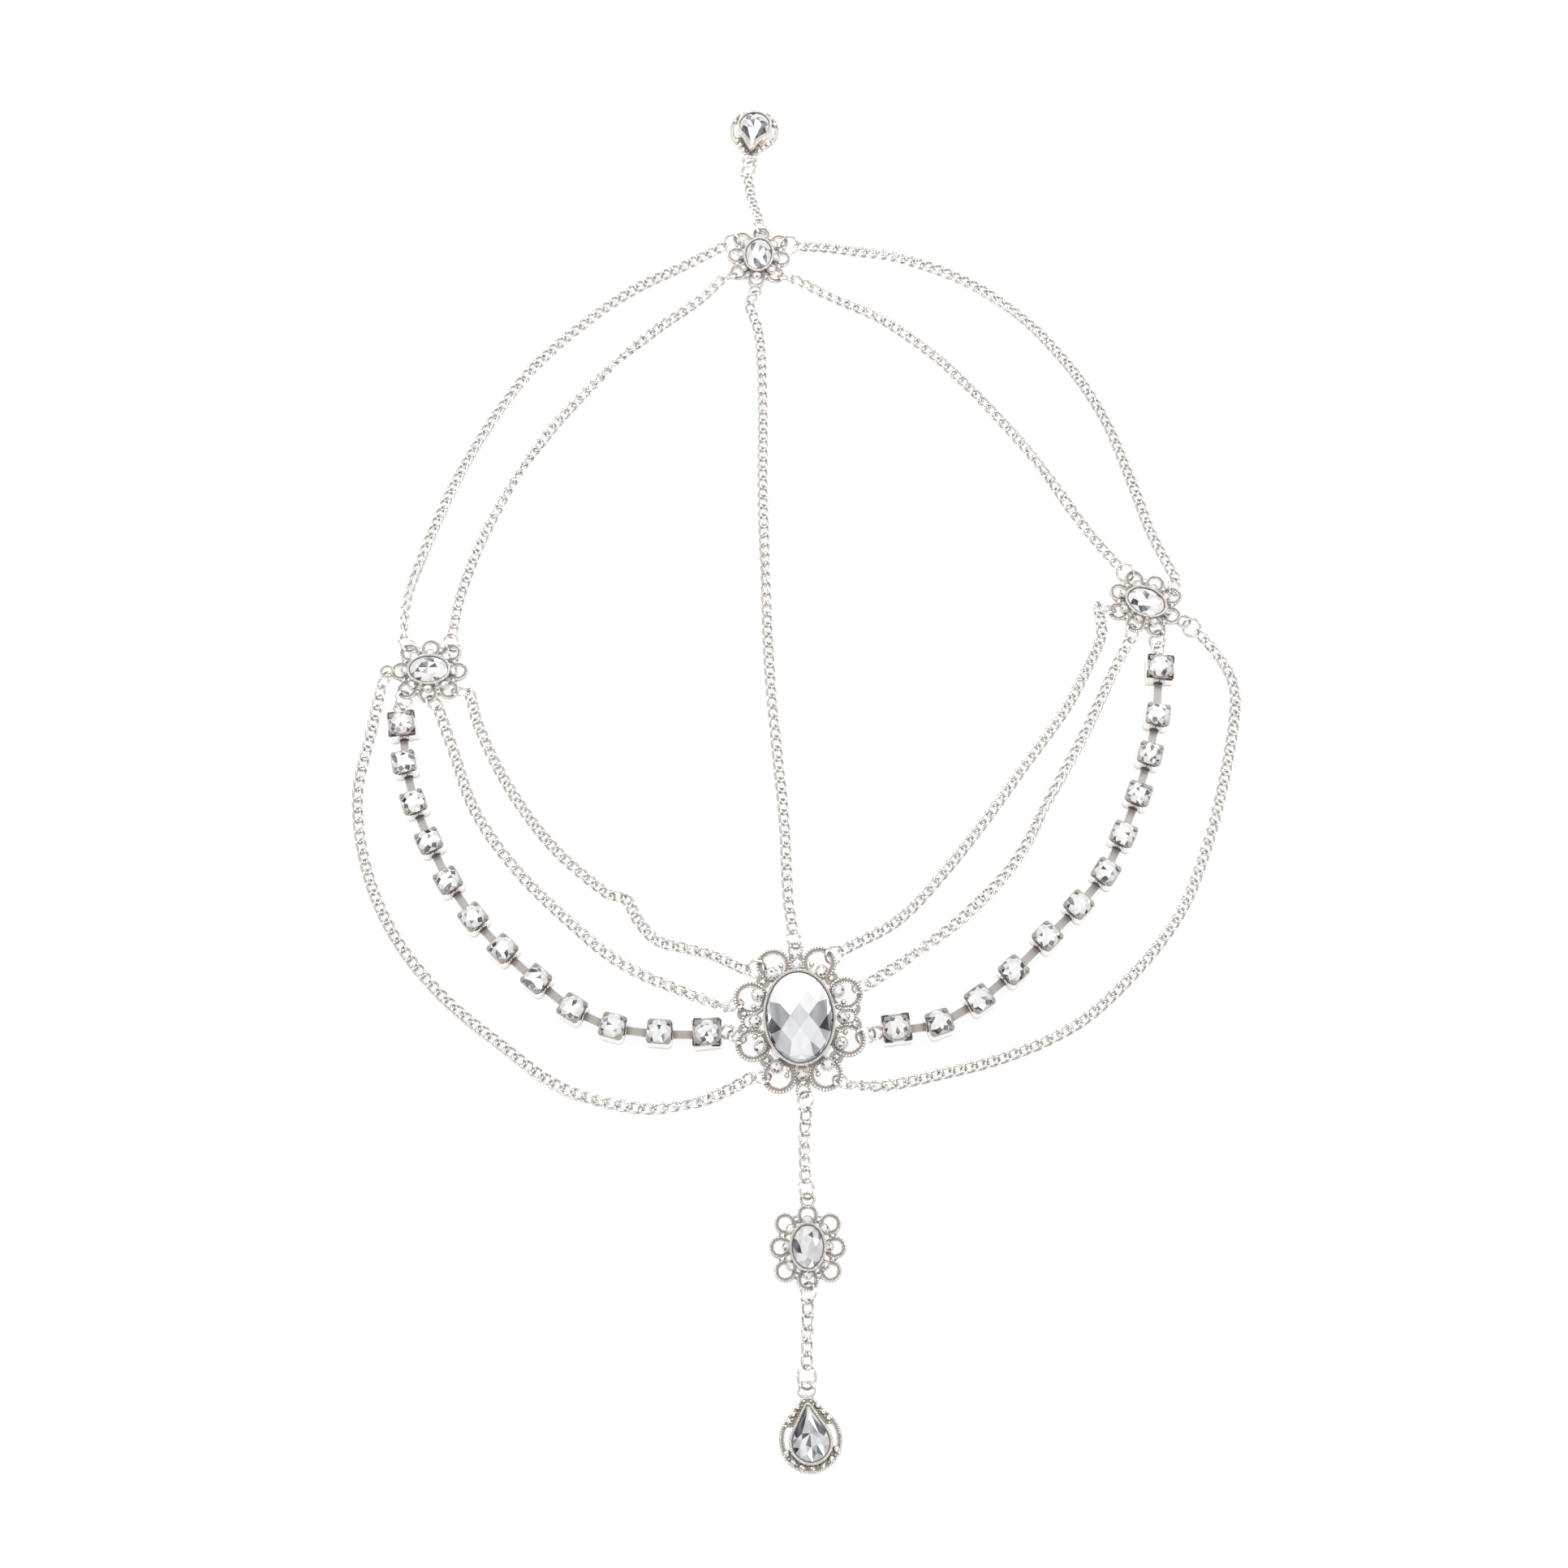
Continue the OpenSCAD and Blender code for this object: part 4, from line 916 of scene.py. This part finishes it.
# %% Centre strand and short chains
TOP_PEAR_HOLD = pear_hold("top_pear", 265)
BOTTOM_PEAR_HOLD = pear_hold("bottom_pear", 88)
chain("centre_chain", TOP_RINGS[0], [
    (-12, 218), (-11, 206), (-10.5, 185), (-10.5, 163.5), (-9.5, 131.5),
    (-8, 99.5), (-6, 78), (-4, 56.5), (-3, 35)], CENTRE_RINGS[0],
    stands=[(0.12, 50, 4), (0.45, 45, 5), (0.7, -40, 4)])
chain("top_drop_chain", TOP_PEAR_HOLD, [(-14.3, 266.5)], TOP_RINGS[1], lift=0.4)
chain("upper_drop_chain", CENTRE_RINGS[9], [(1.2, -33)], DROP_RINGS[0], stands=[(0.5, 70, 3)])
chain("lower_drop_chain", DROP_RINGS[1], [(1.8, -82.5)], BOTTOM_PEAR_HOLD, stands=[(0.35, 70, 2)])

# %% [markdown]
# Four chains make the ring for the head, two on each side, from the top setting out to the left
# and right settings.

# %% Upper chains
chain("outer_top_left_chain", TOP_RINGS[2], [
    (-34, 242.5), (-52, 232), (-68, 218.5), (-82, 203), (-93, 185),
    (-102, 165.5), (-109, 145.5), (-114, 127)], LEFT_RINGS[0], 3.15)
chain("inner_top_left_chain", TOP_RINGS[4], [
    (-30.5, 229), (-46.5, 215.5), (-61, 200), (-74, 183.5), (-84.5, 165.5),
    (-93, 146.5), (-98.5, 128)], LEFT_RINGS[1], 3.15, stands=[(0.3, 60, 4), (0.62, 60, 4)])
chain("inner_top_right_chain", TOP_RINGS[5], [
    (7.5, 232), (26.5, 221.5), (42.5, 208.5), (56.5, 192.5), (69.5, 175),
    (80.5, 157), (86, 148)], RIGHT_RINGS[0], 3.15, stands=[(0.2, 60, 4), (0.72, 65, 6)])
chain("outer_top_right_chain", TOP_RINGS[3], [
    (12.5, 248), (33.5, 244), (53, 235.5), (70, 222), (83, 205.5), (93, 186.5),
    (99.5, 166), (104.5, 148)], RIGHT_RINGS[1], 3.15)

# %% [markdown]
# Six swags hang from the side settings to the large one. The innermost on the left has a kink
# where its links have bunched up on the table.

# %% Swags
chain("outer_left_swag", LEFT_RINGS[2], [
    (-121.5, 85), (-124, 65), (-120, 43.5), (-111, 24), (-97, 7),
    (-80.5, -6.5), (-62.5, -19), (-42, -24), (-28, -22.5), (-20, -19.5)], CENTRE_RINGS[5], 3.15,
    stands=[(0.78, 70, 4), (0.88, -60, 4)])
chain("middle_left_swag", LEFT_RINGS[4], [
    (-98, 78.5), (-91, 60.5), (-79, 43.5), (-64, 28.5), (-48, 15.5), (-29, 7)],
    CENTRE_RINGS[3], 3.15)
chain("inner_left_swag", LEFT_RINGS[5], [
    (-91, 85.5), (-81.5, 67), (-68.5, 49.5), (-53, 36), (-48, 34.5),
    (-44.5, 28.5), (-39, 22.5), (-30, 20), (-22, 17.5)], CENTRE_RINGS[1], 3.05,
    stands=[(0.92, 70, 4)])
chain("inner_right_swag", RIGHT_RINGS[2], [
    (88, 115), (84.5, 106.5), (76.5, 91.5), (64, 74), (51.5, 56.5), (38.5, 40), (27, 28)],
    CENTRE_RINGS[2], 3.15)
chain("middle_right_swag", RIGHT_RINGS[3], [
    (90.5, 102.5), (81, 83), (70.5, 64), (60, 45), (45, 29), (30, 17.5)], CENTRE_RINGS[6], 3.15,
    stands=[(0.42, 65, 5), (0.86, 80, 3)])
chain("outer_right_swag", RIGHT_RINGS[5], [
    (121, 108.5), (124.5, 101), (125, 92.5), (120.5, 71.5), (114, 50.5), (105, 30.5),
    (91.5, 13.5), (75, -1), (55.5, -10), (34.5, -15.5), (22, -18)], CENTRE_RINGS[8], 3.15)

# %% [markdown]
# ## Cup chains
# A cup chain is a row of stamped cups, each with a round stone, joined by flat bars. The cups and
# bars of the CAD model stay. Their stones are cut anew and a little larger: seen from above they
# hide the edge of the cup, and the claws grip them from the corners.

# %% Stones of the cup chains
BOX_W, CUP_W, CUP_H, CUP_STONE = 7.5, 6.9, 5.2, 6.5
CUP_STONE_CUT, CUP_STONE_LOOK = (0.5, 1.2, 0.12, -1.9), (0.08, 0.3, 1.0)
EYE_R, EYE_IN = 2.1, 0.25
LEFT_CUPS = [
    (-111, 73.5), (-107.5, 61.5), (-102.5, 50), (-96.5, 38.5), (-89, 28),
    (-80.5, 19), (-71, 10.5), (-61, 2.5), (-50, -2.5), (-37.5, -4)]
RIGHT_CUPS = [
    (102, 88), (99, 76), (95, 64), (90, 52), (84.5, 41),
    (76.5, 31.5), (67.5, 22.5), (58, 13), (48.5, 5), (37.5, -1.5)]


def eye_of(hold):
    """Middle of the eye that hangs on a jump ring."""
    return hold[0] + ahead(hold[1], hold[2] + EYE_IN)


def box_at(hold, direction, strap):
    """Middle of the end box behind an eye."""
    return tuple(eye_of(hold) + ahead(direction, BOX_W/2 + EYE_R - EYE_IN + strap))


def heading(a, b):
    return math.degrees(math.atan2(b[1] - a[1], b[0] - a[0]))


CUP_LINES = {
    "left": [box_at(LEFT_RINGS[3], 282, 0)] + LEFT_CUPS + [box_at(CENTRE_RINGS[4], 187, 0)],
    "right": [box_at(RIGHT_RINGS[4], 268, 1.5)] + RIGHT_CUPS + [box_at(CENTRE_RINGS[7], 8, 0)],
}
for index, (name, line) in enumerate(CUP_LINES.items()):
    last = len(line) - 1
    rows = [(*p, CUP_H + 0.2, 22.5 + heading(line[max(k - 1, 0)], line[min(k + 1, last)]))
            for k, p in enumerate(line)]
    place_stones(name + "_chain_stones", oval_outline(CUP_STONE, CUP_STONE, 16),
                 (*CUP_STONE_CUT, CUP_STONE_LOOK), rows, SMALL_CRYSTAL, [name + "_cup_stones"],
                 50 + index)

eyes = [(np.eye(3), (*eye_of(hold), WEB_TOP))
        for hold in (LEFT_RINGS[3], CENTRE_RINGS[4], RIGHT_RINGS[4], CENTRE_RINGS[7])]
piece("box_eyes", *joined(*ring_band(1.75, 0.34, 0.22), eyes), RING, slot="cups")
print("eyes of end boxes:", len(eyes))

# %% [markdown]
# On the side where the next bar enters, the sheet of a cup is split and its two flaps fold over
# the bar's head, so a dark seam shows there: a thin dark inlay between two raised flaps stands in
# for the shadow in the gap. The end boxes have dark sharp corners, where the sheet is folded up;
# dark plates there stand in for the shadow in the folds. Both are painted shadow, a rough and dark
# brown-grey. The flaps share the cups' plating.

# %% Seams and flaps
def seam_shadow_finish():
    finish = Finish("painted seam shadow")
    place = finish.node("ShaderNodeTexCoord", {}, {}, "Object")
    cloud = finish.node("ShaderNodeTexNoise", {}, {"Vector": place, "Scale": 900, "Detail": 2})
    # Painted shadow in a rough, dark brown-grey, with a little random cloud.
    return finish.surface(
        Base_Color=finish.blend(cloud, (0.06, 0.042, 0.034, 1), (0.16, 0.12, 0.1, 1)),
        Metallic=0.6, Roughness=0.5)


SEAM_SHADOW = seam_shadow_finish()


def plate(outline, x, thick):
    """An upright plate across the X axis from its outline in y and z, its edges rounded."""
    shape = bmesh.new()
    face = shape.faces.new([shape.verts.new((x, y, z)) for y, z in outline])
    grown = bmesh.ops.extrude_face_region(shape, geom=[face])
    for v in grown["geom"]:
        if isinstance(v, bmesh.types.BMVert):
            v.co.x += thick
    bmesh.ops.recalc_face_normals(shape, faces=shape.faces)
    bmesh.ops.bevel(shape, geom=shape.edges[:], offset=0.3*thick, segments=2, affect="EDGES")
    shape.verts.index_update()
    found = np.array([v.co for v in shape.verts]), [[v.index for v in f.verts] for f in shape.faces]
    shape.free()
    return found


def flap(side):
    outline = [
        (0.14, 4.75), (0.14, 2.5), (0.6, 2.25), (1.4, 2.3), (1.55, 3.4), (1.2, 4.5), (0.6, 4.8)]
    return [(side*y, z) for y, z in outline[::side]]


SEAM_LINE = [
    (-0.13, 2.2), (0.13, 2.2), (0.16, 4.5), (0.7, 4.85), (2.3, 4.95), (2.3, 5.3), (-2.3, 5.3),
    (-2.3, 4.95), (-0.7, 4.85), (-0.16, 4.5)]
BOX_EDGE = BOX_W/2 + 0.05
CORNER = [
    (BOX_EDGE, BOX_EDGE), (BOX_EDGE - 2.7, BOX_EDGE), (BOX_EDGE - 2.2, BOX_EDGE - 0.4),
    (BOX_EDGE - 0.5, BOX_EDGE - 0.5), (BOX_EDGE - 0.4, BOX_EDGE - 2.2), (BOX_EDGE, BOX_EDGE - 2.7)]
UPRIGHT = np.array([[0, 1, 0], [0, 0, 1], [1, 0, 0]])
CORNER_THICK, FLAP_THICK, SEAM_THICK = 1.15, 0.22, 0.38
for name, line in CUP_LINES.items():
    ends = ((line[0], heading(line[0], line[1])), (line[-1], heading(line[-2], line[-1])))
    corners = [(spin(turn + 90*k) @ UPRIGHT, (*p, 0)) for p, turn in ends for k in range(4)]
    piece(name + "_box_corners", *joined(*plate(CORNER, CUP_H - 0.9, CORNER_THICK), corners),
          SEAM_SHADOW, slot="cups")
    frames = []
    for k, p in enumerate(line[:-1]):
        turn = spin(heading(p, line[k + 1]))
        offset = (BOX_W - CUP_W)/2 if k == 0 else 0
        frames.append((turn, (*(np.array(p) + ahead(heading(p, line[k + 1]), offset)), 0)))
    flap_points, flap_faces = [], []
    for side in (-1, 1):
        points, faces = joined(*plate(flap(side), CUP_W/2 - 0.05, FLAP_THICK), frames)
        start = sum(len(q) for q in flap_points)
        flap_points.append(points)
        flap_faces += [[v + start for v in face] for face in faces]
    piece(name + "_flaps", np.concatenate(flap_points), flap_faces, CUP, slot="cups")
    piece(name + "_seams", *joined(*plate(SEAM_LINE, CUP_W/2 - 0.3, SEAM_THICK), frames), SEAM_SHADOW,
          slot="cups")
    print(name, "cup chain:", len(frames), "seams")

# %% [markdown]
# ## Finishes on the CAD solids
# Castings, rings, cups and pear frames are shown as the CAD model made them. Each only swaps its
# plain material for the plating that belongs to it.

# %% Dress the solids
for name, solid in nodes.items():
    if name.endswith("setting"):
        finish = CAST
    elif name.endswith(("rings", "ring")):
        finish = RING
    elif name.endswith("cup_chain"):
        finish = CUP
    elif name.endswith(("stone", "stones", "chatons")):
        finish = SMALL_CRYSTAL
    else:
        finish = CHAIN
    solid.data.materials.clear()
    solid.data.materials.append(finish)
print("dressed", len(nodes), "CAD nodes")

# %% [markdown]
# ## Table and light
# The photograph shows the piece on pure white with no shadows. A light table does that: it glows
# by itself, so the lamps above hardly mark it, and it lights the sides of the metal from below.

# %% Table
def light_table():
    finish = Finish("light table")
    place = finish.node("ShaderNodeTexCoord", {}, {}, "Object")
    cloud = finish.node("ShaderNodeTexNoise", {}, {"Vector": place, "Scale": 30, "Detail": 2})
    return finish.surface(
        Base_Color=finish.blend(cloud, grey(0.14), grey(0.16)), Roughness=0.9,
        Emission_Color=grey(1.0), Emission_Strength=0.87)


table_mesh = bpy.data.meshes.new("table")
table_mesh.from_pydata([(-3, -3, 0), (3, -3, 0), (3, 3, 0), (-3, 3, 0)], [], [(0, 1, 2, 3)])
table_mesh.materials.append(light_table())
table = bpy.data.objects.new("table", table_mesh)
bpy.context.scene.collection.objects.link(table)
print("table", table.dimensions[:2])

# %% [markdown]
# Bright metal shows only what it reflects, so the room matters more than the lamps. The sky is a
# graph too: bands of light and dark by height, broken into soft patches by a noise, like panels
# and dark corners of a studio. Four soft lamps add the highlights. They stand close to the table,
# where no flat face of a setting mirrors them to the camera.

# %% Light
world = bpy.data.worlds.new("studio")
bpy.context.scene.world = world
world.use_nodes = True
sky = Graph(world.node_tree)
way = sky.node("ShaderNodeTexCoord", {}, {}, "Generated")
height = sky.node("ShaderNodeSeparateXYZ", {}, {0: way}, "Z")
patches = sky.node("ShaderNodeTexNoise", {}, {"Vector": way, "Scale": 2.4, "Detail": 1})
bands = sky.node("ShaderNodeValToRGB", {"stops": [
    (0.0, grey(0.5, 0.03)), (0.15, grey(0.16, 0.08)), (0.4, grey(0.3, 0.06)),
    (0.62, grey(0.8, 0.02)), (0.78, grey(0.84, 0.02)), (1.0, grey(0.9, 0.01))]}, {"Fac": height})
bright = ((patches - 0.42)*3.5 + 0.5).held()
sky.feed(sky.tree.nodes["Background"].inputs["Color"], sky.blend(bright, grey(0.3, 0.04), bands))


def lamp(name, at, aim, size, power):
    """A soft square lamp at a place, turned to face another."""
    lamp_data = bpy.data.lights.new(name, "AREA")
    lamp_data.size, lamp_data.energy = size, power
    made = bpy.data.objects.new(name, lamp_data)
    made.location = at
    made.rotation_euler = (Vector(aim) - Vector(at)).to_track_quat("-Z", "Y").to_euler()
    bpy.context.scene.collection.objects.link(made)


lamp("far lamp", (0, 0.9, 0.4), (0, 0.2, 0), 0.25, 2.6)
lamp("right lamp", (0.6, 0.35, 0.6), (0, 0, 0), 0.26, 3)
lamp("left lamp", (-0.7, 0.1, 0.5), (0, 0.1, 0), 0.25, 2.5)
lamp("near lamp", (0.3, -0.7, 0.6), (0, 0, 0), 0.2, 1.5)
bpy.context.scene.view_settings.view_transform = "Standard"
print("sky and four lamps")
